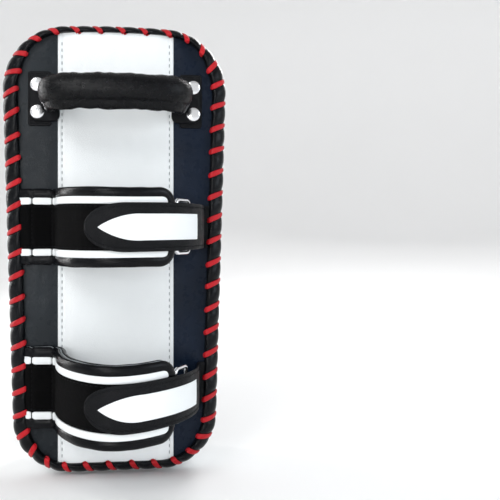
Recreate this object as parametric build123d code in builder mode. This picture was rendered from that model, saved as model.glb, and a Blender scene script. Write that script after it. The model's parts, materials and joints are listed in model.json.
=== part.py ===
from build123d import *
import os
from math import asin, atan2, cos, degrees, radians, sin

os.makedirs("parts", exist_ok=True)

# A kick pad that is strapped to the forearm. It stands on its lower end: +Z runs up its length,
# the striking face looks along +Y, and the handle and the two cuffs are on the -Y side.
# The origin is amid the flat strip that it rests on.

# ---------------------------------------------------------------- the pad's overall sizes
pad_length = 400.0            # rest face to the crown of the top edge
pad_width = 204.0             # between the side edges, produced to the top edge
pad_foot_width = 180.5        # between the side edges, produced to the bottom edge
top_crown = 6.0               # rise of the top edge between its corners
top_corner_radius = 58.0
bottom_corner_radius = 52.0
pad_waist = 64.0              # back surface to the striking face at half length
pad_end_depth = 90.0          # back surface to the striking face at its two crests
crest_inset = 45.0            # crest of the striking face to the end of the pad
end_fall = 7.0                # how far the face falls back beyond each crest
face_edge_radius = 30.0       # rounding of the face into the side wall

# ---------------------------------------------------------------- leather, foam and board
leather = 2.0
centre_panel_width = 102.0
centre_panel_lap = 0.6        # how far the centre panel stands above its neighbours
board_thickness = 5.0
face_foam_depth = 20.0        # soft layer behind the face panel
face_seam_depth = 22.0        # face to its seam with the side wall
wall_seam_inset = 55.0        # top end to the seams across the side wall

# ---------------------------------------------------------------- rim
rim_width = 15.0
rim_height = 5.5              # how far the rim stands above the back panels
rim_rounding = 4.5
lace_width = 5.5
lace_thickness = 1.0
lace_clearance = 0.2
lace_reach = 13.0             # how far a stitch reaches in over the rim
lace_pitch = 20.0
rim_setback = lace_thickness + 2 * lace_clearance   # keeps the lace within the pad's outline

# ---------------------------------------------------------------- emblem
emblem_thickness = 0.6
emblem_rings = [(48.0, 41.0), (29.0, 22.0)]         # outer and inner radius of each ring
emblem_dot_radius = 10.0

# ---------------------------------------------------------------- handle
handle_drop = 67.5            # top end of the pad to the handle's centreline
handle_radius = 12.5
handle_core_radius = 9.0
handle_rise = 26.0            # foot of the handle to its shoulder
handle_bow = 8.0              # shoulder to the middle of the handle
handle_shoulder_radius = 18.0
handle_crown_radius = 180.0
handle_foot_inset = 22.0      # outer edge of the patch to the handle's foot
handle_lean = 2.0             # how far each leg leans in between its foot and its shoulder
patch_to_rim = 8.5            # outer edge of the patch to the rim
patch_width = 20.0
patch_height = 48.0
patch_thickness = 2.0
tab_width = 26.0
tab_inset = 1.5               # outer edge of the patch to the tab
tab_height = 40.0
tab_thickness = 2.5
tab_corner_radius = 4.0
rivet_inset = 8.0             # outer edge of the patch to the rivets
rivet_pitch = 24.0
rivet_cap_radius = 6.2
rivet_cap_height = 1.8
rivet_cap_rounding = 1.4
rivet_radius = 2.0
washer_radius = 6.0
washer_thickness = 1.2
pin_clearance = 0.15

# ---------------------------------------------------------------- cuffs and straps
cuff_levels = {"upper": 220.0, "lower": 80.0}       # height of each cuff's centreline
cuff_height = 67.0
cuff_left_reach = 48.0        # centre of the pad to the mid surface of the cuff's foot
cuff_end_x = 44.0             # centre of the pad to the cuff's free end
arch_rise = 64.0              # cuff's foot to its crown, at the mid surface
foot_height = 8.0             # sewn base strip above the back panels
lining_thickness = 1.0
cuff_foam_inner = -4.0        # distances from the cuff's mid surface, outwards positive
cuff_foam_outer = 3.0
band_thickness = 1.5
piping_height = 9.0
piping_half_depth = 5.0
strap_width = 39.0
strap_thickness = 2.0
hook_thickness = 1.0
flash_thickness = 0.6
flash_width = 21.0
strap_tip_x = -25.0           # rounded end of the tongue
strap_tip_length = 33.0
flash_tip_x = -14.0           # pointed end of the flash
flash_tip_length = 32.0
flash_bulge = (0.42, 0.33)    # a point on the tip's side: share of its length, share of its width
flash_end_x = 66.0
hook_start_x = -18.0
hook_end_x = 36.0
strap_root_to_rim = 4.0       # strap's root to the rim
moving_clearance = 0.3

# ---------------------------------------------------------------- ring and its loop
ring_wire_radius = 1.75
ring_inner_height = 40.0
ring_depth = 20.0             # between the centrelines of its two bars
ring_corner_radius = 4.0
ring_bar_gap = 6.0            # cuff's end to the ring's bar
ring_tilt = 16.0              # turn of the ring towards the pad, from the cuff's own slope
ring_loop_wall = 2.0
ring_loop_width = 30.0
ring_running_clearance = 0.35

# ---------------------------------------------------------------- worked-out values
top_half = pad_width / 2
foot_half = pad_foot_width / 2
side_top = pad_length - top_crown
# The rest strip runs from the rim to the face's rounding, and Y is 0 at its middle.
back_y = (face_edge_radius + end_fall - pad_end_depth - leather - board_thickness) / 2
rim_back_y = back_y - rim_height
board_back_y = back_y + leather
rim_front_y = board_back_y + board_thickness
waist_y = back_y + pad_waist
crest_y = back_y + pad_end_depth
beyond = 60.0                 # runs cutting shapes past the pad
foot_y = back_y - foot_height
crown_angle = 270.0
foot_angle = 180.0
root_angle = 360.0
strap_inner = cuff_foam_outer + band_thickness + moving_clearance + hook_thickness
strap_outer = strap_inner + strap_thickness
handle_z = pad_length - handle_drop


def half_width_at(height):
    """Half of the pad's width at a height, along its straight sides."""
    return foot_half + (top_half - foot_half) * height / side_top


def back_plane(level):
    """Plane across the pad at a level of Y, drawn in X and Z, facing out of the back."""
    return Plane.XZ.offset(-level)


# ---------------------------------------------------------------- shapes that several pieces share
def pad_outline(inset):
    """The pad's outline, inset all round, drawn flat with its length along Y."""
    with BuildSketch() as outline:
        with BuildLine():
            bottom = Line((-foot_half, 0), (foot_half, 0))
            right = Line(bottom @ 1, (top_half, side_top))
            top = ThreePointArc(right @ 1, (0, pad_length), (-top_half, side_top))
            Line(top @ 1, bottom @ 0)
        make_face()
        fillet(outline.vertices().group_by(Axis.Y)[-1], top_corner_radius)
        fillet(outline.vertices().group_by(Axis.Y)[0], bottom_corner_radius)
        if inset > 0:
            offset(amount=-inset)
    return outline.sketch


def outline_block(inset, back, front):
    """Block of the pad's outline, inset all round, between two levels of Y."""
    with BuildPart() as block:
        with BuildSketch(back_plane(front)):
            add(pad_outline(inset))
        extrude(amount=front - back)
    return block.part


def ahead_of_face(depth):
    """Everything ahead of the striking face's curve, moved back into the pad by a depth."""
    with BuildPart() as region:
        with BuildSketch(Plane.YZ.offset(-top_half - beyond)):
            with BuildLine():
                curve = Spline(
                    (crest_y - end_fall - depth, -crest_inset / 2),
                    (crest_y - depth, crest_inset),
                    (waist_y - depth, pad_length / 2),
                    (crest_y - depth, pad_length - crest_inset),
                    (crest_y - end_fall - depth, pad_length + crest_inset / 2),
                )
                Polyline(
                    curve @ 1,
                    (crest_y + beyond, pad_length + crest_inset / 2),
                    (crest_y + beyond, -crest_inset / 2),
                    curve @ 0,
                )
            make_face()
        extrude(amount=2 * (top_half + beyond))
    return region.part


def padded_form(inset):
    """The padded body inset all round: hollowed along its length, with a rounded front edge."""
    with BuildPart() as form:
        add(outline_block(inset, rim_front_y, crest_y + beyond / 2))
        add(ahead_of_face(inset), mode=Mode.SUBTRACT)
        front = form.faces().sort_by(Axis.Y)[-1]
        fillet(front.edges(), face_edge_radius - inset)
    return form.part


def arch_point(layer, angle, right_reach):
    """Point of the cuff's arch at a distance out from its mid surface."""
    reach = (cuff_left_reach if angle < crown_angle else right_reach) + layer
    return (reach * cos(radians(angle)), foot_y + (arch_rise + layer) * sin(radians(angle)))


def arch_angle_at(layer, x, right_reach):
    """Angle along the arch where that layer passes over x."""
    reach = (cuff_left_reach if x < 0 else right_reach) + layer
    return crown_angle + degrees(asin(x / reach))


def arch_band(inner, outer, start, end, low, high, right_reach):
    """Strip of the arch between two layers, two angles and two heights."""
    with BuildPart() as band:
        with BuildSketch(Plane.XY.offset(low)):
            with BuildLine():
                for layer in (inner, outer):
                    rise = arch_rise + layer
                    if start < crown_angle:
                        reach = cuff_left_reach + layer
                        turn = min(end, crown_angle) - start
                        EllipticalCenterArc((0, foot_y), reach, rise, start, arc_size=turn)
                    if end > crown_angle:
                        reach = right_reach + layer
                        begin = max(start, crown_angle)
                        EllipticalCenterArc((0, foot_y), reach, rise, begin, arc_size=end - begin)
                for angle in (start, end):
                    Line(arch_point(inner, angle, right_reach), arch_point(outer, angle, right_reach))
            make_face()
        extrude(amount=high - low)
    return band.part


def tongue_block(tip_x, tip_length, width, end_x, level, round_tip):
    """Block over the arch with a strap's outline: a round or a pointed tip and a square end."""
    with BuildPart() as block:
        with BuildSketch(back_plane(foot_y)):
            with BuildLine():
                low = Line((tip_x + tip_length, level - width / 2), (end_x, level - width / 2))
                end = Line(low @ 1, (end_x, level + width / 2))
                high = Line(end @ 1, (tip_x + tip_length, level + width / 2))
                if round_tip:
                    start = (tip_x + tip_length, level)
                    EllipticalCenterArc(start, tip_length, width / 2, 90, arc_size=180)
                else:
                    bulge_x = tip_x + tip_length * flash_bulge[0]
                    bulge = width * flash_bulge[1]
                    ThreePointArc(high @ 1, (bulge_x, level + bulge), (tip_x, level))
                    ThreePointArc((tip_x, level), (bulge_x, level - bulge), low @ 0)
            make_face()
        extrude(amount=arch_rise + beyond)
    return block.part


# ---------------------------------------------------------------- padded body
outer_form = padded_form(0)
inner_form = padded_form(leather)
face_region = ahead_of_face(face_seam_depth)
seam_z = pad_length - wall_seam_inset

with BuildPart() as face_panel:
    add(outer_form)
    add(inner_form, mode=Mode.SUBTRACT)
    add(face_region, mode=Mode.INTERSECT)
face_panel.part.label = "face_panel"
export_step(face_panel.part, "parts/face_panel.step")

with BuildPart() as side_wall:
    add(outer_form)
    add(inner_form, mode=Mode.SUBTRACT)
    add(face_region, mode=Mode.SUBTRACT)

with BuildPart() as side_wall_top:
    add(side_wall.part)
    split(bisect_by=Plane.XY.offset(seam_z), keep=Keep.TOP)
side_wall_top.part.label = "side_wall_top"
export_step(side_wall_top.part, "parts/side_wall_top.step")

with BuildPart() as side_wall_lower:
    add(side_wall.part)
    split(bisect_by=Plane.XY.offset(seam_z), keep=Keep.BOTTOM)
side_wall_lower.part.label = "side_wall_lower"
export_step(side_wall_lower.part, "parts/side_wall_lower.step")

with BuildPart() as impact_foam:
    add(inner_form)
    add(ahead_of_face(leather + face_foam_depth), mode=Mode.INTERSECT)
impact_foam.part.label = "impact_foam"
export_step(impact_foam.part, "parts/impact_foam.step")

# ---------------------------------------------------------------- handle's fixed places
patch_outer_x = half_width_at(handle_z) - rim_width - patch_to_rim
patch_centre_x = patch_outer_x - patch_width / 2
tab_centre_x = patch_outer_x - tab_inset - tab_width / 2
rivet_x = patch_outer_x - rivet_inset
handle_foot_x = patch_outer_x - handle_foot_inset
rivet_points = [
    (side * rivet_x, handle_z + step * rivet_pitch / 2) for side in (-1, 1) for step in (-1, 1)
]
patch_back_y = back_y - patch_thickness
tab_back_y = patch_back_y - tab_thickness
washer_front_y = rim_front_y + washer_thickness


def rivet_posts(radius, back, front):
    """Four posts on the rivets' axes between two levels of Y."""
    with BuildPart() as posts:
        with BuildSketch(back_plane(front)):
            with Locations(*rivet_points):
                Circle(radius)
        extrude(amount=front - back)
    return posts.part


rivet_holes = rivet_posts(rivet_radius + pin_clearance, tab_back_y, rim_front_y)

with BuildPart() as core_foam:
    add(inner_form)
    add(ahead_of_face(leather + face_foam_depth), mode=Mode.SUBTRACT)
    add(rivet_posts(washer_radius + pin_clearance, rim_front_y, washer_front_y), mode=Mode.SUBTRACT)
core_foam.part.label = "core_foam"
export_step(core_foam.part, "parts/core_foam.step")

with BuildPart() as backing_board:
    add(outline_block(rim_width, board_back_y, rim_front_y))
    add(rivet_holes, mode=Mode.SUBTRACT)
backing_board.part.label = "backing_board"
export_step(backing_board.part, "parts/backing_board.step")

# ---------------------------------------------------------------- back panels
for name, side in (("back_panel_left", -1), ("back_panel_right", 1)):
    with BuildPart() as back_panel:
        add(outline_block(rim_width, back_y, board_back_y))
        with BuildSketch(back_plane(board_back_y)):
            with Locations((side * (centre_panel_width / 2 + top_half), pad_length / 2)):
                Rectangle(2 * top_half, 2 * pad_length)
        extrude(amount=leather, mode=Mode.INTERSECT)
        add(rivet_holes, mode=Mode.SUBTRACT)
    back_panel.part.label = name
    export_step(back_panel.part, f"parts/{name}.step")

with BuildPart() as centre_panel:
    add(outline_block(rim_width, back_y - centre_panel_lap, board_back_y))
    with BuildSketch(back_plane(board_back_y)):
        with Locations((0, pad_length / 2)):
            Rectangle(centre_panel_width, 2 * pad_length)
    extrude(amount=leather + centre_panel_lap, mode=Mode.INTERSECT)
centre_panel.part.label = "centre_panel"
export_step(centre_panel.part, "parts/centre_panel.step")

# ---------------------------------------------------------------- rim and its lacing
with BuildPart() as edge_binding:
    add(outline_block(rim_setback, rim_back_y, rim_front_y))
    fillet(edge_binding.faces().sort_by(Axis.Y)[0].edges(), rim_rounding)
    add(outline_block(rim_width, rim_back_y, rim_front_y), mode=Mode.SUBTRACT)
edge_binding.part.label = "edge_binding"
export_step(edge_binding.part, "parts/edge_binding.step")

# One stitch, drawn where X runs in from the rim's outer edge and Y runs out of the back.
with BuildPart() as lace_stitch:
    with BuildSketch(Plane.XY.offset(-lace_width / 2)) as stitch_section:
        with BuildLine():
            near = lace_clearance
            far = lace_clearance + lace_thickness
            lace_start = -rim_front_y + lace_clearance
            for layer in (near, far):
                flank = Line((-layer, lace_start), (-layer, -rim_back_y - rim_rounding))
                over = (rim_rounding, -rim_back_y + layer)
                bend = RadiusArc(flank @ 1, over, rim_rounding + layer)
                Line(bend @ 1, (lace_reach, -rim_back_y + layer))
            Line((-near, lace_start), (-far, lace_start))
            Line((lace_reach, -rim_back_y + near), (lace_reach, -rim_back_y + far))
        make_face()
    extrude(amount=lace_width)

rim_loop = pad_outline(rim_setback).face().outer_wire()
stitch_count = round(rim_loop.length / lace_pitch)
stitch_planes = []
for index in range(stitch_count):
    spot = rim_loop.position_at(index / stitch_count)
    along = rim_loop.tangent_at(index / stitch_count)
    inward = Vector(-along.Y, 0, along.X)
    if (Vector(0, 0, pad_length / 2) - Vector(spot.X, 0, spot.Y)).dot(inward) < 0:
        inward = -inward
    # X runs inwards and Y out of the back, so Z runs along the rim.
    stitch_planes.append(
        Plane(origin=(spot.X, 0, spot.Y), x_dir=inward, z_dir=inward.cross(Vector(0, -1, 0)))
    )

with BuildPart() as lacing:
    with Locations(*stitch_planes):
        add(lace_stitch.part)
lacing.part.label = "lacing"
export_step(lacing.part, "parts/lacing.step")

# ---------------------------------------------------------------- emblem on the striking face
with BuildPart() as emblem_skin:
    add(ahead_of_face(0))
    add(ahead_of_face(-emblem_thickness), mode=Mode.SUBTRACT)

with BuildPart() as emblem_rings_piece:
    add(emblem_skin.part)
    with BuildSketch(back_plane(crest_y)):
        with Locations((0, pad_length / 2)):
            for outer_radius, inner_radius in emblem_rings:
                Circle(outer_radius)
                Circle(inner_radius, mode=Mode.SUBTRACT)
    extrude(amount=pad_end_depth, mode=Mode.INTERSECT)
emblem_rings_piece.part.label = "emblem_rings"
export_step(emblem_rings_piece.part, "parts/emblem_rings.step")

with BuildPart() as emblem_dot:
    add(emblem_skin.part)
    with BuildSketch(back_plane(crest_y)):
        with Locations((0, pad_length / 2)):
            Circle(emblem_dot_radius)
    extrude(amount=pad_end_depth, mode=Mode.INTERSECT)
emblem_dot.part.label = "emblem_dot"
export_step(emblem_dot.part, "parts/emblem_dot.step")

# ---------------------------------------------------------------- handle
# The handle rocks about this line, with its feet just clear of the rivets' caps.
handle_axis_y = tab_back_y - rivet_cap_height - moving_clearance - handle_radius
shoulder_y = handle_axis_y - handle_rise
handle_route = [
    (handle_foot_x, handle_axis_y),
    (handle_foot_x - handle_lean, shoulder_y),
    (0, shoulder_y - handle_bow),
    (handle_lean - handle_foot_x, shoulder_y),
    (-handle_foot_x, handle_axis_y),
]
handle_bends = [handle_shoulder_radius, handle_crown_radius, handle_shoulder_radius]

with BuildPart() as handle_core:
    with BuildLine(Plane.XY.offset(handle_z)) as core_path:
        FilletPolyline(*handle_route, radius=handle_bends)
    with BuildSketch(Plane(origin=core_path.line @ 0, z_dir=core_path.line % 0)):
        Circle(handle_core_radius)
    sweep()
handle_core.part.label = "handle_core"
export_step(handle_core.part, "parts/handle_core.step")

with BuildPart() as handle_cover:
    with BuildLine(Plane.XY.offset(handle_z)) as cover_path:
        FilletPolyline(*handle_route, radius=handle_bends)
    with BuildSketch(Plane(origin=cover_path.line @ 0, z_dir=cover_path.line % 0)):
        Circle(handle_radius)
    sweep()
    for side in (-1, 1):
        with Locations((side * handle_foot_x, handle_axis_y, handle_z)):
            Sphere(handle_radius)
    add(handle_core.part, mode=Mode.SUBTRACT)
handle_cover.part.label = "handle_cover"
export_step(handle_cover.part, "parts/handle_cover.step")

for name, side in (("left", -1), ("right", 1)):
    with BuildPart() as handle_patch:
        with BuildSketch(back_plane(back_y)):
            with Locations((side * patch_centre_x, handle_z)):
                RectangleRounded(patch_width, patch_height, tab_corner_radius)
        extrude(amount=patch_thickness)
        add(rivet_holes, mode=Mode.SUBTRACT)
    handle_patch.part.label = f"handle_patch_{name}"
    export_step(handle_patch.part, f"parts/handle_patch_{name}.step")

    with BuildPart() as handle_tab:
        with BuildSketch(back_plane(patch_back_y)):
            with Locations((side * tab_centre_x, handle_z)):
                RectangleRounded(tab_width, tab_height, tab_corner_radius)
        extrude(amount=tab_thickness)
        add(rivet_holes, mode=Mode.SUBTRACT)
    handle_tab.part.label = f"handle_tab_{name}"
    export_step(handle_tab.part, f"parts/handle_tab_{name}.step")

with BuildPart() as handle_rivets:
    add(rivet_posts(rivet_cap_radius, tab_back_y - rivet_cap_height, tab_back_y))
    cap_faces = handle_rivets.faces().group_by(Axis.Y)[0]
    fillet([edge for cap in cap_faces for edge in cap.edges()], rivet_cap_rounding)
    add(rivet_posts(rivet_radius, tab_back_y, washer_front_y))
handle_rivets.part.label = "handle_rivets"
export_step(handle_rivets.part, "parts/handle_rivets.step")

with BuildPart() as rivet_washers:
    add(rivet_posts(washer_radius, rim_front_y, washer_front_y))
    add(rivet_posts(rivet_radius, rim_front_y, washer_front_y), mode=Mode.SUBTRACT)
rivet_washers.part.label = "rivet_washers"
export_step(rivet_washers.part, "parts/rivet_washers.step")

# ---------------------------------------------------------------- cuffs, straps and rings
inside_rim = outline_block(rim_width, foot_y - foot_height, back_y)

for place, level in cuff_levels.items():
    low = level - cuff_height / 2
    high = level + cuff_height / 2
    strap_low = level - strap_width / 2
    strap_high = level + strap_width / 2
    root_outer_x = half_width_at(strap_low) - rim_width - strap_root_to_rim
    right_reach = root_outer_x - strap_outer
    band_outer = cuff_foam_outer + band_thickness
    cuff_end = arch_angle_at(0, cuff_end_x, right_reach)
    lining_inner = cuff_foam_inner - lining_thickness
    cuff_inner_x = -cuff_left_reach - lining_inner

    # ------------------------------------------------ fixed to the pad
    with BuildPart() as cuff_base:
        with BuildSketch(back_plane(back_y)):
            with Locations(((cuff_inner_x - top_half) / 2, level)):
                Rectangle(top_half + cuff_inner_x, cuff_height)
        extrude(amount=foot_height - moving_clearance)
        add(inside_rim, mode=Mode.INTERSECT)
        add(centre_panel.part, mode=Mode.SUBTRACT)
    cuff_base.part.label = f"{place}_cuff_base"
    export_step(cuff_base.part, f"parts/{place}_cuff_base.step")

    with BuildPart() as strap_anchor:
        with BuildSketch(Plane.XY.offset(strap_low)):
            with BuildLine():
                Polyline(
                    (root_outer_x - strap_thickness, back_y),
                    (root_outer_x - strap_thickness, foot_y + moving_clearance),
                    (root_outer_x, foot_y + moving_clearance),
                    (root_outer_x, back_y - strap_thickness),
                    (top_half, back_y - strap_thickness),
                    (top_half, back_y),
                    close=True,
                )
            make_face()
        extrude(amount=strap_width)
        add(inside_rim, mode=Mode.INTERSECT)
    strap_anchor.part.label = f"{place}_strap_anchor"
    export_step(strap_anchor.part, f"parts/{place}_strap_anchor.step")

    # ------------------------------------------------ cuff
    with BuildPart() as cuff_pad:
        add(arch_band(cuff_foam_inner, cuff_foam_outer, foot_angle, cuff_end,
                      low + piping_height, high - piping_height, right_reach))
    cuff_pad.part.label = f"{place}_cuff_pad"
    export_step(cuff_pad.part, f"parts/{place}_cuff_pad.step")

    with BuildPart() as cuff_lining:
        add(arch_band(lining_inner, cuff_foam_inner, foot_angle, cuff_end,
                      low + piping_height, high - piping_height, right_reach))
    cuff_lining.part.label = f"{place}_cuff_lining"
    export_step(cuff_lining.part, f"parts/{place}_cuff_lining.step")

    with BuildPart() as cuff_piping:
        for start in (low, high - piping_height):
            add(arch_band(-piping_half_depth, piping_half_depth, foot_angle, cuff_end,
                          start, start + piping_height, right_reach))
    cuff_piping.part.label = f"{place}_cuff_piping"
    export_step(cuff_piping.part, f"parts/{place}_cuff_piping.step")

    with BuildPart() as loop_strip:
        add(arch_band(cuff_foam_outer, band_outer, foot_angle, cuff_end,
                      strap_low, strap_high, right_reach))
    loop_strip.part.label = f"{place}_loop_strip"
    export_step(loop_strip.part, f"parts/{place}_loop_strip.step")

    with BuildPart() as white_bands:
        for start, end in ((low + piping_height, strap_low), (strap_high, high - piping_height)):
            add(arch_band(cuff_foam_outer, band_outer, foot_angle, cuff_end,
                          start, end, right_reach))
    white_bands.part.label = f"{place}_white_bands"
    export_step(white_bands.part, f"parts/{place}_white_bands.step")

    # ------------------------------------------------ ring and the loop that holds it
    end_x, end_y = arch_point(0, cuff_end, right_reach)
    slope = atan2(arch_rise * cos(radians(cuff_end)), -right_reach * sin(radians(cuff_end)))
    heading = slope + radians(ring_tilt)
    bar_x = end_x + ring_bar_gap * cos(slope)
    bar_y = end_y + ring_bar_gap * sin(slope)
    loop_radius = ring_wire_radius + ring_running_clearance + ring_loop_wall
    along_cuff = Plane(origin=(bar_x, bar_y, level - ring_loop_width / 2),
                       x_dir=(cos(slope), sin(slope), 0), z_dir=(0, 0, 1))
    along_ring = Plane(origin=(bar_x, bar_y, level), x_dir=(cos(heading), sin(heading), 0),
                       z_dir=(sin(heading), -cos(heading), 0))

    with BuildPart() as ring_loop:
        with BuildSketch(along_cuff):
            Circle(loop_radius)
            with Locations((-ring_bar_gap / 2 - ring_loop_wall / 2, 0)):
                Rectangle(ring_bar_gap + ring_loop_wall, 2 * ring_loop_wall)
            Circle(ring_wire_radius + ring_running_clearance, mode=Mode.SUBTRACT)
        extrude(amount=ring_loop_width)
        add(cuff_pad.part, mode=Mode.SUBTRACT)
    ring_loop.part.label = f"{place}_ring_loop"
    export_step(ring_loop.part, f"parts/{place}_ring_loop.step")

    with BuildPart() as ring:
        with BuildLine(along_ring) as ring_path:
            half_bar = ring_inner_height / 2 + ring_wire_radius
            FilletPolyline(
                (0, half_bar), (0, -half_bar), (ring_depth, -half_bar), (ring_depth, half_bar),
                close=True, radius=ring_corner_radius,
            )
        with BuildSketch(Plane(origin=ring_path.line @ 0, z_dir=ring_path.line % 0)):
            Circle(ring_wire_radius)
        sweep()
    ring.part.label = f"{place}_ring"
    export_step(ring.part, f"parts/{place}_ring.step")

    # ------------------------------------------------ strap
    strap_tip = arch_angle_at(strap_inner, strap_tip_x - strap_thickness, right_reach)
    with BuildPart() as strap:
        add(arch_band(strap_inner, strap_outer, strap_tip, root_angle,
                      strap_low, strap_high, right_reach))
        add(tongue_block(strap_tip_x, strap_tip_length, strap_width,
                         top_half, level, True), mode=Mode.INTERSECT)
    strap.part.label = f"{place}_strap"
    export_step(strap.part, f"parts/{place}_strap.step")

    with BuildPart() as strap_flash:
        add(arch_band(strap_outer, strap_outer + flash_thickness, strap_tip, root_angle,
                      strap_low, strap_high, right_reach))
        add(tongue_block(flash_tip_x, flash_tip_length, flash_width,
                         flash_end_x, level, False), mode=Mode.INTERSECT)
    strap_flash.part.label = f"{place}_strap_flash"
    export_step(strap_flash.part, f"parts/{place}_strap_flash.step")

    with BuildPart() as hook_patch:
        add(arch_band(strap_inner - hook_thickness, strap_inner,
                      arch_angle_at(strap_inner, hook_start_x, right_reach),
                      arch_angle_at(strap_inner, hook_end_x, right_reach),
                      strap_low, strap_high, right_reach))
        add(tongue_block(strap_tip_x, strap_tip_length, strap_width,
                         top_half, level, True), mode=Mode.INTERSECT)
    hook_patch.part.label = f"{place}_hook_patch"
    export_step(hook_patch.part, f"parts/{place}_hook_patch.step")
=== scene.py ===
import bisect
import json
import math

import bmesh
import bpy
from mathutils import Matrix, Vector, noise
from mathutils.bvhtree import BVHTree


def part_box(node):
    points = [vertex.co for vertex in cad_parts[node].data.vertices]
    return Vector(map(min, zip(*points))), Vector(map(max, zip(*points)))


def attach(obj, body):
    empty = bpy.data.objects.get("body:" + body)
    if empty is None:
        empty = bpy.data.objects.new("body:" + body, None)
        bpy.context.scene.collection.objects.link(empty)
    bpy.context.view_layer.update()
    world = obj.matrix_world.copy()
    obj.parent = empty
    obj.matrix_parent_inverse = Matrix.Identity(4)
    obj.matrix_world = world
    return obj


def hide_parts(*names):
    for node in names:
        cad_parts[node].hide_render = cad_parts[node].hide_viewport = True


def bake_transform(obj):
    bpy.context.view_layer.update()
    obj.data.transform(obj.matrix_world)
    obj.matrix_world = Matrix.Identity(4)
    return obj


bl_info = {
    "name": "Kick pad",
    "version": (1, 0, 0),
    "blender": (4, 5, 0),
    "location": "3D View > Sidebar > Kick pad",
    "description": "Covers, lacing, handle, cuffs and straps of a kick pad, built round its frame",
    "category": "Add Mesh",
}

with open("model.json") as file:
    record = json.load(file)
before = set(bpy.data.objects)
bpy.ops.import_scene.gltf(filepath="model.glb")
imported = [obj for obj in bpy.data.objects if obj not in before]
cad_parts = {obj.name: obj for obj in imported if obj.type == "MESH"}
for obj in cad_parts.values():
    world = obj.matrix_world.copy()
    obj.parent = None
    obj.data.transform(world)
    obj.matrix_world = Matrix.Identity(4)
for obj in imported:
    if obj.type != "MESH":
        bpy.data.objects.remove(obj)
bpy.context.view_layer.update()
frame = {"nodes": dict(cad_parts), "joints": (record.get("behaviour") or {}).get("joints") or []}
hinges = {joint["name"]: Vector(joint["pos_m"]) for joint in frame["joints"]}

PLACES = ("upper", "lower")
FORWARD = Vector((0, 1, 0))
OUT_OF_BACK = Vector((0, -1, 0))
UP = Vector((0, 0, 1))
BACK_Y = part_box("back_panel_left")[0].y
RIM_BACK_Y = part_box("edge_binding")[0].y
RIM_FRONT_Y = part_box("edge_binding")[1].y
BODY_LEATHER = 0.0016
PANEL_LEATHER = 0.0014
RIM_LEATHER = 0.0012


# ---------------------------------------------------------------- sizes and colours
def size_property(name, description, default):
    """A size in metres that the panel shows."""
    return bpy.props.FloatProperty(
        name=name, description=description, default=default, subtype="DISTANCE")


def share_property(name, description, default):
    """A share of a size that the panel shows."""
    return bpy.props.FloatProperty(
        name=name, description=description, default=default, subtype="FACTOR")


def colour_property(name, description, default):
    """A colour that the panel shows."""
    return bpy.props.FloatVectorProperty(
        name=name, description=description, default=default, size=3, min=0, max=1, subtype="COLOR")


class KickPadSizes(bpy.types.PropertyGroup):
    """The pad's sizes that the covers, the rim and the lacing follow."""

    width_at_top: size_property(
        "Width at the top", "Between the side edges, produced to the top edge", 0.204)
    width_at_foot: size_property(
        "Width at the foot", "Between the side edges, produced to the foot", 0.1805)
    top_crown: size_property("Crown", "Rise of the top edge between its corners", 0.006)
    top_corner: size_property("Top corner", "Radius of the two top corners", 0.058)
    foot_corner: size_property("Foot corner", "Radius of the two lower corners", 0.052)
    rim_width: size_property(
        "Rim width", "Outer edge of the rim to its inner edge, along the sides", 0.0145)
    rim_top_width: size_property(
        "Rim width at the top", "Outer edge of the rim to its inner edge, along the top", 0.0082)
    rim_foot_width: size_property(
        "Rim width at the foot", "Outer edge of the rim to its inner edge, along the foot", 0.0118)
    panel_tuck: size_property(
        "Panel tuck", "Outer edge of the pad to the back panels' edges, under the rim", 0.0062)
    face_rounding: size_property("Face rounding", "Radius of the face into the side wall", 0.030)
    seam_depth: size_property(
        "Seam depth", "Striking face to its seam with the side wall", 0.022)
    stitch_inset: size_property(
        "Stitch inset", "Edge of the centre panel to its stitching", 0.0036)
    stitch_pitch: size_property("Stitch pitch", "Spacing of the centre panel's stitches", 0.0057)
    lace_count: bpy.props.IntProperty(
        name="Lace stitches", description="Stitches of the lace round the rim", default=54)
    lace_width: size_property("Lace width", "Width of the flat lace", 0.0047)
    lace_thickness: size_property("Lace thickness", "Thickness of the flat lace", 0.0014)
    lace_slant: size_property(
        "Lace slant", "How far a stitch runs along the rim as it crosses it", 0.0084)


class KickPadCuffSizes(bpy.types.PropertyGroup):
    """The sizes of the two cuffs, their straps and the carrying handle."""

    arch_rise: size_property("Arch rise", "Foot of a cuff to its crown", 0.064)
    cuff_half_height: size_property(
        "Half cuff height", "Middle of a cuff to the outside of its piping", 0.0335)
    piping_half: size_property("Half piping", "Half of the piping's height", 0.0047)
    corner: size_property("Cuff corner", "Radius of the free end's corners", 0.0105)
    cuff_end: size_property("Cuff end", "Middle of the pad to a cuff's free end", 0.0445)
    strap_half_width: size_property("Half strap width", "Half of a strap's width", 0.0195)
    strap_layer: size_property(
        "Strap layer", "Middle of the cuff's thickness to the middle of the strap's", 0.0068)
    tongue: size_property("Tongue", "Length over which a strap narrows to its tip", 0.034)
    tongue_tip: size_property("Tongue tip", "Where a strap's tip lies across the pad", -0.025)
    flash_tip: size_property(
        "Flash tip", "Where the white flash's tip lies across the pad", -0.014)
    flash_end: size_property(
        "Flash end", "Where the white flash's square end lies across the pad", 0.0665)
    upper_sag: size_property(
        "Upper sag", "How far the upper cuff hangs down at its crown", 0.0006)
    lower_sag: size_property(
        "Lower sag", "How far the lower cuff hangs down at its crown", 0.0030)
    base_spread: share_property(
        "Base spread", "Share by which the lower cuff's sewn base is taller", 0.065)
    crown_squeeze: share_property(
        "Crown squeeze", "Share of its height that the upper cuff loses at its crown", 0.055)
    handle_radius: size_property("Handle radius", "Radius of the handle's roll", 0.0125)
    handle_rise: size_property("Handle rise", "Foot of the handle to its shoulder", 0.026)
    handle_bow: size_property("Handle bow", "Shoulder to the middle of the handle", 0.008)


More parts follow.
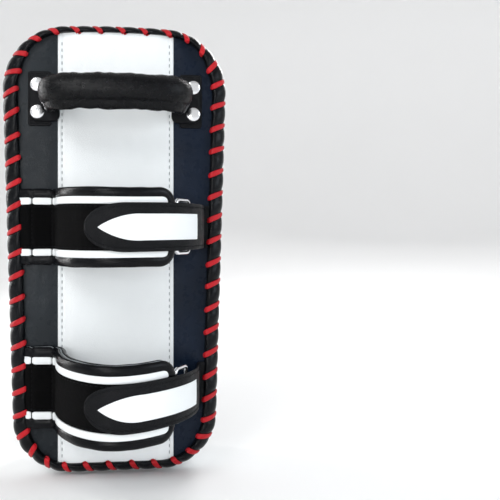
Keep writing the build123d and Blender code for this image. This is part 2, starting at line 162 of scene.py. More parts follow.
class KickPadColours(bpy.types.PropertyGroup):
    """The colours of the pad's leathers, threads and fabrics."""

    black: colour_property(
        "Black leather", "Coated leather of the face, rim and handle", (0.0018, 0.0021, 0.0030))
    # Painted sheen: the left back panel's leather made lighter and greyer, for the gloss reflection
    # it catches from the upper left.
    left_panel_sheen_colour: colour_property(
        "Left panel leather with painted sheen", "Coated leather of the left back panel", (0.010, 0.013, 0.016))
    navy: colour_property(
        "Navy leather", "Coated leather of the right back panel", (0.0030, 0.0062, 0.0135))
    white: colour_property(
        "White leather", "Coated leather of the wall and the centre panel", (0.78, 0.81, 0.82))
    lace: colour_property("Lace", "Flat lace round the rim", (0.50, 0.006, 0.013))
    dot: colour_property("Dot", "Printed dot on the striking face", (0.68, 0.006, 0.014))
    thread: colour_property("Thread", "Stitches of the centre panel", (0.23, 0.25, 0.26))
    fabric: colour_property("Fabric", "Lining and hook-and-loop tape", (0.0024, 0.0024, 0.0027))


def sizes():
    return bpy.context.scene.kick_pad_sizes


def cuff_sizes():
    return bpy.context.scene.kick_pad_cuff_sizes


def colours():
    return bpy.context.scene.kick_pad_colours


# ---------------------------------------------------------------- small helpers
def mix(a, b, share):
    return a + (b - a) * share


def ease(share):
    """0 below 0, 1 above 1 and a smooth step between them."""
    share = min(1.0, max(0.0, share))
    return share * share * (3 - 2 * share)


def dip(distance, width):
    """1 at a distance of 0, falling smoothly to nothing over a few widths."""
    return math.exp(-((distance / width) ** 2))


def rounded(value, power):
    """A circle's sine or cosine squared off: its size raised to a power, its sign kept."""
    return math.copysign(abs(value) ** power, value)


def round_end(share):
    """Height of a round end: 0 at its tip and 1 where the full section begins."""
    return math.sqrt(max(0.0, 1 - (1 - min(1.0, share)) ** 2))


def both_ends(along):
    """Rows set closer together towards both ends."""
    return 0.5 - 0.5 * math.cos(math.pi * along)


def ripple(x, y, z, scale):
    """Smooth waves over space, between about -1 and 1."""
    return noise.noise(Vector((x, y, z)) * scale)


class Outline:
    """The pad's outline: a tapered shape with round corners. A share of it runs from the middle of
    the foot up the +X side, over the top and down the other side."""

    def __init__(self):
        s = sizes()
        self.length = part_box("side_wall_top")[1].z
        self.foot_half = s.width_at_foot / 2
        side_top = self.length - s.top_crown
        self.slant = math.atan2(s.width_at_top / 2 - self.foot_half, side_top)
        self.foot_corner, self.top_corner = s.foot_corner, s.top_corner
        self.crown = ((s.width_at_top / 2) ** 2 + s.top_crown ** 2) / (2 * s.top_crown)
        self.crown_z = self.length - self.crown
        self.foot_centre = Vector((self.side_x(s.foot_corner, s.foot_corner), s.foot_corner))
        centre_z = self.length - s.top_corner
        for _ in range(20):
            centre_x = self.side_x(centre_z, s.top_corner)
            centre_z = self.crown_z + math.sqrt((self.crown - s.top_corner) ** 2 - centre_x ** 2)
        self.top_centre = Vector((centre_x, centre_z))
        self.top_angle = math.atan2(centre_z - self.crown_z, centre_x)
        self.side_out = Vector((math.cos(self.slant), -math.sin(self.slant)))
        side = (self.top_centre + self.side_out * self.top_corner) - (
            self.foot_centre + self.side_out * self.foot_corner)
        self.runs = (
            self.foot_centre.x,
            (math.pi / 2 - self.slant) * self.foot_corner,
            side.length,
            (self.top_angle + self.slant) * self.top_corner,
            (math.pi / 2 - self.top_angle) * self.crown,
        )
        self.half = sum(self.runs)
        self.perimeter = 2 * self.half

    def side_x(self, z, inset):
        """Where the side edge, moved in by an inset, is at a height."""
        return self.foot_half - (inset - z * math.sin(self.slant)) / math.cos(self.slant)

    def at(self, share, inset=0.0):
        """Point (x, z) of the outline, moved in by an inset, and the way out of it there."""
        run = (share % 1.0) * self.perimeter
        side = 1
        if run > self.half:
            run, side = self.perimeter - run, -1
        part = 0
        while part < 4 and run > self.runs[part]:
            run -= self.runs[part]
            part += 1
        if part == 0:
            spot, out = Vector((run, inset)), Vector((0, -1))
        elif part == 2:
            low = self.foot_centre + self.side_out * (self.foot_corner - inset)
            high = self.top_centre + self.side_out * (self.top_corner - inset)
            spot, out = low.lerp(high, run / self.runs[2]), self.side_out
        else:
            if part == 1:
                centre, radius, start = self.foot_centre, self.foot_corner, -math.pi / 2
            elif part == 3:
                centre, radius, start = self.top_centre, self.top_corner, -self.slant
            else:
                centre, radius, start = Vector((0, self.crown_z)), self.crown, self.top_angle
            angle = start + run / radius
            out = Vector((math.cos(angle), math.sin(angle)))
            spot = centre + out * (radius - inset)
        return Vector((side * spot.x, spot.y)), Vector((side * out.x, out.y))

    def half_width(self, z, inset):
        """Middle of the pad to the outline, moved in by an inset, at a height."""
        for centre, radius, beyond in (
            (self.foot_centre, self.foot_corner - inset, z < self.foot_centre.y),
            (self.top_centre, self.top_corner - inset, z > self.top_centre.y),
        ):
            if beyond:
                return centre.x + math.sqrt(max(0.0, radius ** 2 - (z - centre.y) ** 2))
        return self.side_x(z, inset)

    def ends(self, x, inset):
        """Lowest and highest place of the outline, moved in by an inset, at an X."""
        x = abs(x)
        foot, top = self.foot_centre, self.top_centre
        low = inset
        if x > foot.x:
            radius = self.foot_corner - inset
            low = foot.y - math.sqrt(max(0.0, radius ** 2 - (x - foot.x) ** 2))
        high = self.crown_z + math.sqrt((self.crown - inset) ** 2 - x ** 2)
        radius = self.top_corner - inset
        if x > top.x + radius * math.cos(self.top_angle):
            high = top.y + math.sqrt(max(0.0, radius ** 2 - (x - top.x) ** 2))
        return low, high


class Route:
    """A smooth line through closely spaced places in X and Y, read by the distance along it."""

    def __init__(self, places):
        self.places = [Vector(place) for place in places]
        self.marks = [0.0]
        for before, after in zip(self.places, self.places[1:]):
            self.marks.append(self.marks[-1] + (after - before).length)
        self.length = self.marks[-1]

    def at(self, distance):
        """Point and direction at a distance along the line."""
        i = min(len(self.marks) - 2, max(0, bisect.bisect_right(self.marks, distance) - 1))
        step = self.marks[i + 1] - self.marks[i]
        share = (distance - self.marks[i]) / step
        spot = self.places[i].lerp(self.places[i + 1], share)
        before = self.places[max(0, i - 1)]
        after = self.places[min(len(self.places) - 1, i + 2)]
        middle = (self.places[i + 1] - self.places[i]).normalized()
        start = (self.places[i + 1] - before).normalized()
        end = (after - self.places[i]).normalized()
        return spot, (start.lerp(end, min(1, max(0, share))) + middle * 0.001).normalized()

    def distance_at_x(self, x, falling=False):
        """First distance at which the line passes that X, rising or falling."""
        for mark, before, after in zip(self.marks, self.places, self.places[1:]):
            if (before.x <= x < after.x and not falling) or (before.x >= x > after.x and falling):
                return mark + (after - before).length * (x - before.x) / (after.x - before.x)
        return self.length


def bent_line(corners, radii, step=0.0012):
    """Places along straight runs joined by round bends, one radius for each inner corner."""
    corners = [Vector(corner) for corner in corners]
    places = [corners[0]]
    for before, corner, after, radius in zip(corners, corners[1:], corners[2:], radii):
        back, ahead = (before - corner).normalized(), (after - corner).normalized()
        half = back.angle(ahead) / 2
        reach = radius / math.tan(half)
        centre = corner + (back + ahead).normalized() * (radius / math.sin(half))
        start, end = corner + back * reach - centre, corner + ahead * reach - centre
        turn = start.angle_signed(end)
        count = max(4, round(abs(turn) * radius / step))
        for i in range(count + 1):
            angle = -turn * i / count
            places.append(centre + Vector((
                start.x * math.cos(angle) - start.y * math.sin(angle),
                start.x * math.sin(angle) + start.y * math.cos(angle))))
    places.append(corners[-1])
    filled = []
    for before, after in zip(places, places[1:]):
        count = max(1, round((after - before).length / step))
        filled += [before.lerp(after, i / count) for i in range(count)]
    return Route(filled + [places[-1]])


# ---------------------------------------------------------------- mesh helpers
def finish_mesh(name, bm, material, smooth=True):
    """Object at the origin with that mesh and material."""
    mesh = bpy.data.meshes.new(name)
    bm.to_mesh(mesh)
    bm.free()
    piece = bpy.data.objects.new(name, mesh)
    bpy.context.scene.collection.objects.link(piece)
    mesh.materials.append(material)
    if smooth:
        mesh.polygons.foreach_set("use_smooth", [True] * len(mesh.polygons))
    return piece


def surface_grid(bm, columns, rows, place, cloth):
    """Adds a grid whose square is carried onto a surface by place(across, along). Its UV map holds
    real distances, so a pattern on it keeps its size: cloth is the surface's width and length."""
    made = bmesh.ops.create_grid(bm, x_segments=columns, y_segments=rows, size=0.5)
    layer = bm.loops.layers.uv.get("surface") or bm.loops.layers.uv.new("surface")
    spots = {v: (v.co.x + 0.5, v.co.y + 0.5) for v in made["verts"]}
    faces = {face for v in made["verts"] for face in v.link_faces}
    for face in faces:
        for loop in face.loops:
            across, along = spots[loop.vert]
            loop[layer].uv = (across * cloth[0], along * cloth[1])
    for v, (across, along) in spots.items():
        v.co = place(across, along)
    return made["verts"]


def join_seams(bm):
    """Merges seams and poles."""
    bmesh.ops.remove_doubles(bm, verts=bm.verts, dist=2e-6)
    bmesh.ops.dissolve_degenerate(bm, edges=bm.edges, dist=1e-7)


def close_up(bm):
    """Merges seams and poles and turns every face outwards."""
    join_seams(bm)
    bmesh.ops.recalc_face_normals(bm, faces=bm.faces)


def spin_profile(bm, profile, centre, axis, steps):
    """Adds the surface that a line of places makes as it turns once round an axis."""
    verts = [bm.verts.new(place) for place in profile]
    edges = [bm.edges.new(pair) for pair in zip(verts, verts[1:])]
    bmesh.ops.spin(bm, geom=verts + edges, cent=centre, axis=axis, angle=2 * math.pi, steps=steps,
                   use_merge=True)


def closed_form(name, columns, rows, places, material, cloth=(0.1, 0.2)):
    """Closed piece of one or more tubes or pads: each place(across, along) closes round where
    across is 0 and 1, and shrinks to a point where along is 0 and 1."""
    bm = bmesh.new()
    for place in places:
        surface_grid(bm, columns, rows, place, cloth)
    close_up(bm)
    return finish_mesh(name, bm, material)


def open_cover(name, columns, rows, place, material, outward, thickness, cloth):
    """Cover with its outer side where place says, given a thickness on its inner side."""
    bm = bmesh.new()
    surface_grid(bm, columns, rows, place, cloth)
    join_seams(bm)
    bm.normal_update()
    facing = sum(f.normal.dot(outward(f.calc_center_median())) * f.calc_area() for f in bm.faces)
    if facing < 0:
        bmesh.ops.reverse_faces(bm, faces=bm.faces)
    piece = finish_mesh(name, bm, material)
    shell = piece.modifiers.new("thickness", "SOLIDIFY")
    shell.thickness = thickness
    shell.offset = -1
    return piece


def stitching(name, frames, length, width, height, material):
    """Thread stitches, each lying along its frame's second direction: (centre, along, out)."""
    bm = bmesh.new()
    for centre, along, out in frames:
        side = along.cross(out)
        basis = Matrix((side * width / 2, along * length / 2, out * height / 2))
        place = Matrix.Translation(centre) @ basis.transposed().to_4x4()
        bmesh.ops.create_uvsphere(bm, u_segments=8, v_segments=5, radius=1, matrix=place)
    bmesh.ops.recalc_face_normals(bm, faces=bm.faces)
    return finish_mesh(name, bm, material)


def out_of_back(spot):
    """The way out of the back, wherever a cover lies on it."""
    return OUT_OF_BACK


def search_tree(*nodes):
    """Search tree over those frame nodes' surfaces."""
    bm = bmesh.new()
    for node in nodes:
        bm.from_mesh(frame["nodes"][node].data)
    tree = BVHTree.FromBMesh(bm)
    bm.free()
    return tree


def fix_piece(piece, body, slot, *nodes):
    """The piece moves with a body and stands for those nodes, which are hidden. Its slot is not
    used.
    """
    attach(piece, body)
    if nodes:
        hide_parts(*nodes)
    return piece


# ---------------------------------------------------------------- shader node groups
def node_group(name, inputs, outputs):
    """Shader node group with those sockets, and its input and output nodes."""
    group = bpy.data.node_groups.new(name, "ShaderNodeTree")
    for kind, label, value in inputs:
        socket = group.interface.new_socket(label, in_out="INPUT", socket_type=kind)
        if value is not None:
            socket.default_value = value
    for kind, label in outputs:
        group.interface.new_socket(label, in_out="OUTPUT", socket_type=kind)
    return group, group.nodes.new("NodeGroupInput"), group.nodes.new("NodeGroupOutput")


def add_node(tree, kind, settings=None, values=None):
    """Node of that kind, with its settings and its sockets' own values."""
    node = tree.nodes.new(kind)
    for key, value in (settings or {}).items():
        setattr(node, key, value)
    for key, value in (values or {}).items():
        node.inputs[key].default_value = value
    return node


def math_node(tree, operation, first, second):
    """Math node, where each operand is a socket or a number."""
    node = add_node(tree, "ShaderNodeMath", {"operation": operation})
    for index, operand in enumerate((first, second)):
        if isinstance(operand, (int, float)):
            node.inputs[index].default_value = operand
        else:
            tree.links.new(operand, node.inputs[index])
    return node.outputs[0]


def noise_node(tree, position, scale, detail, roughness=0.5):
    """Noise texture's value at a position."""
    node = add_node(tree, "ShaderNodeTexNoise", None,
                    {"Scale": scale, "Detail": detail, "Roughness": roughness})
    tree.links.new(position, node.inputs["Vector"])
    return node.outputs[0]


def smooth_range(tree, value, low, high):
    """0 where the value is low, 1 where it is high and a smooth step between them."""
    node = add_node(tree, "ShaderNodeMapRange", {"interpolation_type": "SMOOTHSTEP"},
                    {"From Min": low, "From Max": high})
    tree.links.new(value, node.inputs["Value"])
    return node.outputs["Result"]


def leather_grain_group():
    """Pebbled leather grain with fine creases, and slow blotches for colour and gloss."""
    group, source, result = node_group(
        "leather grain",
        [("NodeSocketVector", "Position", None), ("NodeSocketFloat", "Pebbles", 900.0),
         ("NodeSocketFloat", "Creases", 0.35)],
        [("NodeSocketFloat", "Height"), ("NodeSocketFloat", "Blotch"),
         ("NodeSocketFloat", "Scuff")])
    link = group.links.new
    pebbles = add_node(group, "ShaderNodeTexVoronoi", {"feature": "DISTANCE_TO_EDGE"},
                       {"Randomness": 0.9})
    link(source.outputs["Position"], pebbles.inputs["Vector"])
    link(source.outputs["Pebbles"], pebbles.inputs["Scale"])
    softened = smooth_range(group, pebbles.outputs["Distance"], 0.0, 0.32)
    creases = noise_node(group, source.outputs["Position"], 45.0, 3.0, 0.5)
    creased = math_node(group, "MULTIPLY", creases, source.outputs["Creases"])
    link(math_node(group, "SUBTRACT", softened, creased), result.inputs["Height"])
    for label, scale, detail in (("Blotch", 9.0, 3.0), ("Scuff", 140.0, 6.0)):
        texture = noise_node(group, source.outputs["Position"], scale, detail, 0.55)
        link(smooth_range(group, texture, 0.3, 0.7), result.inputs[label])


def weave_group():
    """Woven or knitted cloth over real distances, with stray fuzz."""
    group, source, result = node_group(
        "cloth weave",
        [("NodeSocketVector", "Position", None), ("NodeSocketFloat", "Threads", 1400.0),
         ("NodeSocketFloat", "Fuzz", 0.5)],
        [("NodeSocketFloat", "Height"), ("NodeSocketFloat", "Fleck")])
    link = group.links.new
    bands = []
    for direction in ("X", "Y"):
        band = add_node(group, "ShaderNodeTexWave", {"bands_direction": direction},
                        {"Distortion": 0.6, "Detail": 1.0})
        link(source.outputs["Position"], band.inputs["Vector"])
        link(source.outputs["Threads"], band.inputs["Scale"])
        bands.append(band.outputs["Fac"])
    fuzz = noise_node(group, source.outputs["Position"], 2600.0, 5.0, 0.7)
    fuzzed = math_node(group, "MULTIPLY", fuzz, source.outputs["Fuzz"])
    woven = math_node(group, "MULTIPLY", bands[0], bands[1])
    link(math_node(group, "ADD", woven, fuzzed), result.inputs["Height"])
    link(fuzz, result.inputs["Fleck"])


def material_base(name, roughness, **values):
    """Node tree and Principled shader of a new material, its constants on its own sockets."""
    made = bpy.data.materials.new(name)
    made.use_nodes = True
    shader = made.node_tree.nodes["Principled BSDF"]
    shader.inputs["Roughness"].default_value = roughness
    for label, value in values.items():
        shader.inputs[label.replace("_", " ")].default_value = value
    return made.node_tree, shader


def coordinates(tree, source="Object"):
    """Texture coordinates of the piece."""
    return add_node(tree, "ShaderNodeTexCoord").outputs[source]


def blend_colour(tree, mask, first, second, target):
    """Colour between two, by a mask, into a shader's socket."""
    node = add_node(tree, "ShaderNodeMix", {"data_type": "RGBA"})
    node.inputs["A"].default_value = (*first, 1)
    node.inputs["B"].default_value = (*second, 1)
    tree.links.new(mask, node.inputs["Factor"])
    tree.links.new(node.outputs["Result"], target)


def blend_value(tree, mask, low, high, target):
    """Value between two, by a mask, into a shader's socket."""
    node = add_node(tree, "ShaderNodeMapRange", None, {"To Min": low, "To Max": high})
    tree.links.new(mask, node.inputs["Value"])
    tree.links.new(node.outputs["Result"], target)


def bump(tree, height, distance, strength, shader):
    """Relief of that depth on a shader."""
    node = add_node(tree, "ShaderNodeBump", None, {"Strength": strength, "Distance": distance})
    tree.links.new(height, node.inputs["Height"])
    tree.links.new(node.outputs["Normal"], shader.inputs["Normal"])


def use_group(tree, group, position, **values):
    """Outputs of a node group placed in a material with its own values."""
    node = add_node(tree, "ShaderNodeGroup", {"node_tree": group}, values)
    tree.links.new(position, node.inputs["Position"])
    return node.outputs


def lighter(colour, factor, lift=0.0):
    """The colour made lighter by a factor and a lift, or darker by a factor below 1."""
    return tuple(min(1.0, c * factor + lift) for c in colour)


def leather(name, colour, spread, roughness, pebbles, creases, relief, **values):
    """Coated leather: grain, slow blotches of colour, and gloss that varies with the scuffs."""
    tree, shader = material_base(name, roughness[0], **values)
    grain = use_group(tree, bpy.data.node_groups["leather grain"], coordinates(tree),
                      Pebbles=pebbles, Creases=creases)
    blend_colour(tree, grain["Blotch"], colour, spread, shader.inputs["Base Color"])
    blend_value(tree, grain["Scuff"], *roughness, shader.inputs["Roughness"])
    bump(tree, grain["Height"], relief, 0.5, shader)


def leather_with_painted_seam_shade(seam_z):
    """White leather whose top piece is sewn on at that height, with painted shade: a dark line
    along the seam's groove.
    """
    made = material("white leather").copy()
    made.name = "white wall leather with painted seam shade"
    tree, shader = made.node_tree, made.node_tree.nodes["Principled BSDF"]
    split = add_node(tree, "ShaderNodeSeparateXYZ")
    tree.links.new(coordinates(tree), split.inputs["Vector"])
    above = math_node(tree, "SUBTRACT", split.outputs["Z"], seam_z)
    away = math_node(tree, "ABSOLUTE", above, 0.0)
    # Painted shade: grey base colour within about a millimetre of the seam's height, darkest on it.
    shade = add_node(tree, "ShaderNodeMix", {"data_type": "RGBA"})
    shade.inputs["A"].default_value = (0.30, 0.32, 0.33, 1)
    tree.links.new(smooth_range(tree, away, 0.0003, 0.0011), shade.inputs["Factor"])
    tree.links.new(shader.inputs["Base Color"].links[0].from_socket, shade.inputs["B"])
    tree.links.new(shade.outputs["Result"], shader.inputs["Base Color"])
    return made


def cloth(name, colour, spread, threads, fuzz, relief, source, roughness):
    """Fabric: weave and fuzz over the piece's own surface, with lighter flecks."""
    tree, shader = material_base(
        name, roughness, Sheen_Weight=0.01, Sheen_Roughness=0.5, Specular_IOR_Level=0.04)
    weave = use_group(tree, bpy.data.node_groups["cloth weave"], coordinates(tree, source),
                      Threads=threads, Fuzz=fuzz)
    blend_colour(tree, weave["Fleck"], colour, spread, shader.inputs["Base Color"])
    bump(tree, weave["Height"], relief, 0.8, shader)


def bright_metal(name, colour, roughness):
    """Plated metal with fine rubbing marks."""
    tree, shader = material_base(name, roughness[0], Metallic=1.0)
    marks = noise_node(tree, coordinates(tree), 320.0, 8.0, 0.7)
    blend_colour(tree, marks, colour, lighter(colour, 0.82), shader.inputs["Base Color"])
    blend_value(tree, marks, *roughness, shader.inputs["Roughness"])
    bump(tree, marks, 0.00004, 0.3, shader)


def foam(name, colour):
    """Cut foam with open cells, their pits painted darker as shade."""
    tree, shader = material_base(name, 0.95)
    cells = add_node(tree, "ShaderNodeTexVoronoi", None, {"Scale": 700.0})
    tree.links.new(coordinates(tree), cells.inputs["Vector"])
    depth = cells.outputs["Distance"]
    blend_colour(tree, depth, lighter(colour, 0.6), colour, shader.inputs["Base Color"])
    bump(tree, depth, 0.0006, 0.8, shader)


def make_materials():
    """All the pad's materials, by name."""
    leather_grain_group()
    weave_group()
    c = colours()
    black, left_panel_sheen_colour, navy, white = tuple(c.black), tuple(c.left_panel_sheen_colour), tuple(c.navy), tuple(c.white)
    lace, dot, thread, fabric = tuple(c.lace), tuple(c.dot), tuple(c.thread), tuple(c.fabric)
    glossy, satin, dull = (0.16, 0.26), (0.24, 0.36), (0.42, 0.58)
    for name, colour, spread, roughness, pebbles, creases, relief, specular in (
        ("black leather", black, lighter(black, 1.5, 0.0008), glossy, 850, 0.5, 0.00010, 0.13),
        ("navy leather", navy, lighter(navy, 2.0), satin, 850, 0.5, 0.00010, 0.12),
        # Painted sheen: a lighter copy of the dark panel leather, used on the left back panel.
        ("left panel leather with painted sheen", left_panel_sheen_colour, lighter(left_panel_sheen_colour, 1.5), satin, 850, 0.5, 0.00010, 0.13),
        ("handle leather", lighter(black, 0.7), lighter(black, 1.2), (0.20, 0.32), 850, 0.6,
         0.00016, 0.16),
        ("dull leather", black, lighter(black, 1.6, 0.0015), dull, 800, 0.4, 0.00025, 0.14),
        ("lace leather", lace, lighter(lace, 0.82), (0.34, 0.46), 1200, 0.45, 0.00018, 0.25),
        ("white print", lighter(white, 1.03), lighter(white, 0.93), (0.40, 0.52), 850, 0.25,
         0.00014, 0.5),
        ("red print", dot, lighter(dot, 0.85), (0.38, 0.5), 850, 0.25, 0.00014, 0.5),
        # Painted shadow: near-black for the holes where the lace goes in and for the shade round
        # the lace's end.
        ("lace hole with painted shadow", lighter(black, 0.3), lighter(black, 0.5), (0.8, 0.95), 900, 0.5,
         0.0003, 0.1),
    ):
        leather(name, colour, spread, roughness, pebbles, creases, relief,
                Specular_IOR_Level=specular)
    leather("white leather", white, lighter(white, 1.06), (0.36, 0.50), 800, 0.22, 0.00016,
            Coat_Weight=0.1, Coat_Roughness=0.35)
    for name, colour, spread, roughness in (
        ("grey thread", thread, lighter(thread, 1.5), 0.7),
        ("black thread", black, lighter(black, 2.2, 0.01), 0.65),
    ):
        cloth(name, colour, spread, 2600, 0.3, 0.0001, "Object", roughness)
    for name, low, high, threads, fuzz, relief, roughness in (
        ("loop tape", lighter(fabric, 0.6), lighter(fabric, 1.5, 0.001), 900, 1.6, 0.0007, 0.97),
        ("hook tape", lighter(fabric, 1.2), lighter(fabric, 2.6, 0.01), 1500, 0.4, 0.0006, 0.6),
        ("lining", lighter(fabric, 1.4), lighter(fabric, 2.8, 0.006), 1100, 0.5, 0.0003, 0.9),
    ):
        cloth(name, low, high, threads, fuzz, relief, "UV", roughness)
    bright_metal("bright metal", (0.88, 0.89, 0.91), (0.12, 0.26))
    bright_metal("plain steel", (0.55, 0.56, 0.57), (0.3, 0.45))
    foam("soft foam", (0.13, 0.13, 0.14))
    foam("core foam", (0.26, 0.26, 0.27))
    foam("fibre board", (0.10, 0.085, 0.07))


def material(name):
    """One of the pad's materials."""
    return bpy.data.materials[name]


# ---------------------------------------------------------------- padded body
class KICKPAD_OT_body_covers(bpy.types.Operator):
    """Striking face and side wall of the padded body"""

    bl_idname = "kick_pad.body_covers"
    bl_label = "Body covers"

    def execute(self, context):
        s = sizes()
        outline = Outline()
        whole = search_tree("face_panel", "side_wall_top", "side_wall_lower")
        walls = search_tree("side_wall_top", "side_wall_lower")
        columns = 12 * s.lace_count
        wall_seam_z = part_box("side_wall_top")[0].z
        outside = 0.12
        rounding_rows = 0.42
        spine_inset = 0.095

        def seam_y(share):
            """Where the side wall ends and the striking face begins, found by halving."""
            spot, out = outline.at(share)
            out = Vector((out.x, 0, out.y))
            low, high = RIM_FRONT_Y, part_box("face_panel")[1].y
            for _ in range(14):
                middle = (low + high) / 2
                start = Vector((spot.x, middle, spot.y)) + out * 0.02
                hit = walls.ray_cast(start, -out, 0.026)[0]
                low, high = (middle, high) if hit else (low, middle)
            return low

        seams = [seam_y(i / columns) for i in range(columns)]

        def puckers(share):
            """Small gathers that the stitches pull along a seam."""
            return 0.0003 * ripple(share * 60, 0, 0, 1.0)

        def face(across, along):
            i = round(across * columns) % columns
            share = i / columns
            ring, out = outline.at(share, s.face_rounding)
            out = Vector((out.x, 0, out.y))
            if along < rounding_rows:
                start = math.asin(1 - s.seam_depth / s.face_rounding)
                angle = mix(start, math.pi / 2, along / rounding_rows)
                centre = Vector((ring.x, seams[i] + s.seam_depth - s.face_rounding, ring.y))
                way = out * math.cos(angle) + FORWARD * math.sin(angle)
                hit = whole.ray_cast(centre + way * outside, -way)[0]
                hit = hit or centre + way * s.face_rounding
            else:
                spine_z = min(max(ring.y, spine_inset), outline.length - spine_inset)
                inwards = (along - rounding_rows) / (1 - rounding_rows)
                spot = ring.lerp(Vector((0, spine_z)), inwards)
                way = FORWARD
                hit = whole.ray_cast(Vector((spot.x, outside, spot.y)), -FORWARD)[0]
            seam = dip(along, 0.035)
            soft = 0.00035 * ripple(hit.x, hit.y, hit.z, 22) * ease(along * 5)
            return hit - way * (0.0011 * seam - puckers(share) * dip(along, 0.1) - soft)

        def wall(across, along):
            i = round(across * columns) % columns
            share = i / columns
            spot, out = outline.at(share)
            off_floor = ease(spot.y / 0.03)
            y = mix(RIM_FRONT_Y + 0.0015, seams[i], 1 - (1 - along) ** 1.25)
            crown = 0.0007 * math.sin(math.pi * along)
            top_seam = 0.0006 * dip(spot.y - wall_seam_z, 0.0024)
            top_seam *= ease(along / 0.15) * ease((1 - along) / 0.1)
            edge = 0.0021 * dip(1 - along, 0.035) + 0.0016 * dip(along, 0.06)
            soft = 0.0004 * ripple(spot.x, y, spot.y, 26)
            gather = puckers(share) * (dip(1 - along, 0.12) + dip(along, 0.1))
            inset = edge + top_seam + 0.0003 - (crown + soft + gather) * off_floor
            return Vector((spot.x - out.x * inset, y, spot.y - out.y * inset))

        def from_middle(spot):
            return Vector((spot.x, spot.y + 0.03, spot.z - 0.2))

        def from_spine(spot):
            return Vector((spot.x, 0, spot.z - min(max(spot.z, 0.1), 0.3)))

        face_cover = open_cover("face_cover", columns, 40, face, material("black leather"),
                                from_middle, BODY_LEATHER, (outline.perimeter, 0.12))
        fix_piece(face_cover, "pad", "black_leather", "face_panel")
        # The wall's leather carries a painted shade line along its top seam.
        wall_cover = open_cover("wall_cover", columns, 30, wall, leather_with_painted_seam_shade(wall_seam_z),
                                from_spine, BODY_LEATHER, (outline.perimeter, 0.06))
        fix_piece(wall_cover, "pad", "white_leather", "side_wall_top", "side_wall_lower")
        return {"FINISHED"}


# ---------------------------------------------------------------- back panels
class KICKPAD_OT_back_panels(bpy.types.Operator):
    """Black side panels and the white stitched centre panel of the back"""

    bl_idname = "kick_pad.back_panels"
    bl_label = "Back panels"

    def execute(self, context):
        s = sizes()
        outline = Outline()
        tuck = s.panel_tuck
        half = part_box("centre_panel")[1].x
        groove_x = half - s.stitch_inset

        inner = half - 0.0015
        low, high = outline.ends(inner, tuck)
        # The left panel takes the lighter leather with painted sheen.
        for name, side, finish in (("left", -1, "left panel leather with painted sheen"), ("right", 1, "navy leather")):

            def panel(across, along):
                z = mix(low, high, along)
                outer = max(inner, outline.half_width(z, tuck))
                x = side * mix(inner, outer, across)
                to_rim = outer - abs(x) - s.rim_width + tuck
                swell = 0.0005 * ease((abs(x) - inner) / 0.012) * ease(to_rim / 0.012)
                soft = 0.0004 * ripple(x, 0, z, 17) + 0.0002 * ripple(x, 5, z, 60)
                return Vector((x, BACK_Y - swell - soft * ease(to_rim / 0.01), z))

            cover = open_cover(f"back_cover_{name}", 24, 190, panel, material(finish), out_of_back,
                               PANEL_LEATHER, (outline.half_width(0.2, tuck) - inner, high - low))
            fix_piece(cover, "pad", "black_leather", f"back_panel_{name}")

        def centre_y(x, z):
            edge = half - abs(x)
            puff = 0.0010 * ease(edge / 0.016) + 0.0009 * ripple(x, 2, z, 14)
            stitch = 0.0007 * dip(abs(x) - groove_x, 0.0011)
            fold = 0.0008 * ease(edge / 0.0016)
            return BACK_Y - 0.0008 - fold + stitch - puff * ease((edge - s.stitch_inset) / 0.01)

        def centre(across, along):
            x = half * math.sin((across - 0.5) * math.pi)
            low, high = outline.ends(x, tuck)
            z = mix(low, high, along)
            return Vector((x, centre_y(x, z), z))

        cover = open_cover("centre_cover", 90, 190, centre, material("white leather"), out_of_back,
                           PANEL_LEATHER, (2 * half, outline.length))
        fix_piece(cover, "pad", "white_leather", "centre_panel")

        frames = []
        low, high = outline.ends(groove_x, s.rim_width)
        count = round((high - low) / s.stitch_pitch)
        for side in (-1, 1):
            for i in range(count):
                z = low + (i + 0.5) * (high - low) / count
                spot = Vector((side * groove_x, centre_y(groove_x, z) - 0.0002, z))
                frames.append((spot, UP, OUT_OF_BACK))
        rows = stitching("centre_stitching", frames, 0.0036, 0.0009, 0.0007,
                         material("grey thread"))
        fix_piece(rows, "pad", "white_leather")
        return {"FINISHED"}


# ---------------------------------------------------------------- rim and lacing
def rim_point(outline, share, over):
    """Point of the rolled rim: over is 0 at its wall side and 1 at its inner edge. The lace
    pinches the roll where a stitch crosses it."""
    s = sizes()
    phase = (share + over * s.lace_slant / outline.perimeter) * s.lace_count
    gap = abs((phase + 0.5) % 1.0 - 0.5) / s.lace_count * outline.perimeter
    pinch = dip(gap, 0.0046)
    turn = math.pi * min(1.0, max(0.0, over))
    facing = outline.at(share)[1].y
    at_end = ease((abs(facing) - 0.35) / 0.6)
    width = mix(s.rim_width, s.rim_top_width if facing > 0 else s.rim_foot_width, at_end)
    outer = 0.0011 + (0.0014 * at_end if facing < 0 else 0.0)
    inset = mix(outer + 0.0012 * pinch, width, 0.5 - 0.5 * math.cos(turn))
    base = mix(RIM_FRONT_Y, BACK_Y, ease(over))
    crest = mix(RIM_FRONT_Y, BACK_Y, 0.5) - RIM_BACK_Y
    height = crest * math.sin(turn) ** 0.5 * (1.0 - 0.22 * pinch)
    spot, out = outline.at(share, inset)
    soft = 0.0004 * ripple(spot.x, over * 0.02, spot.y, 90)
    return Vector((spot.x, base - height - soft, spot.y))


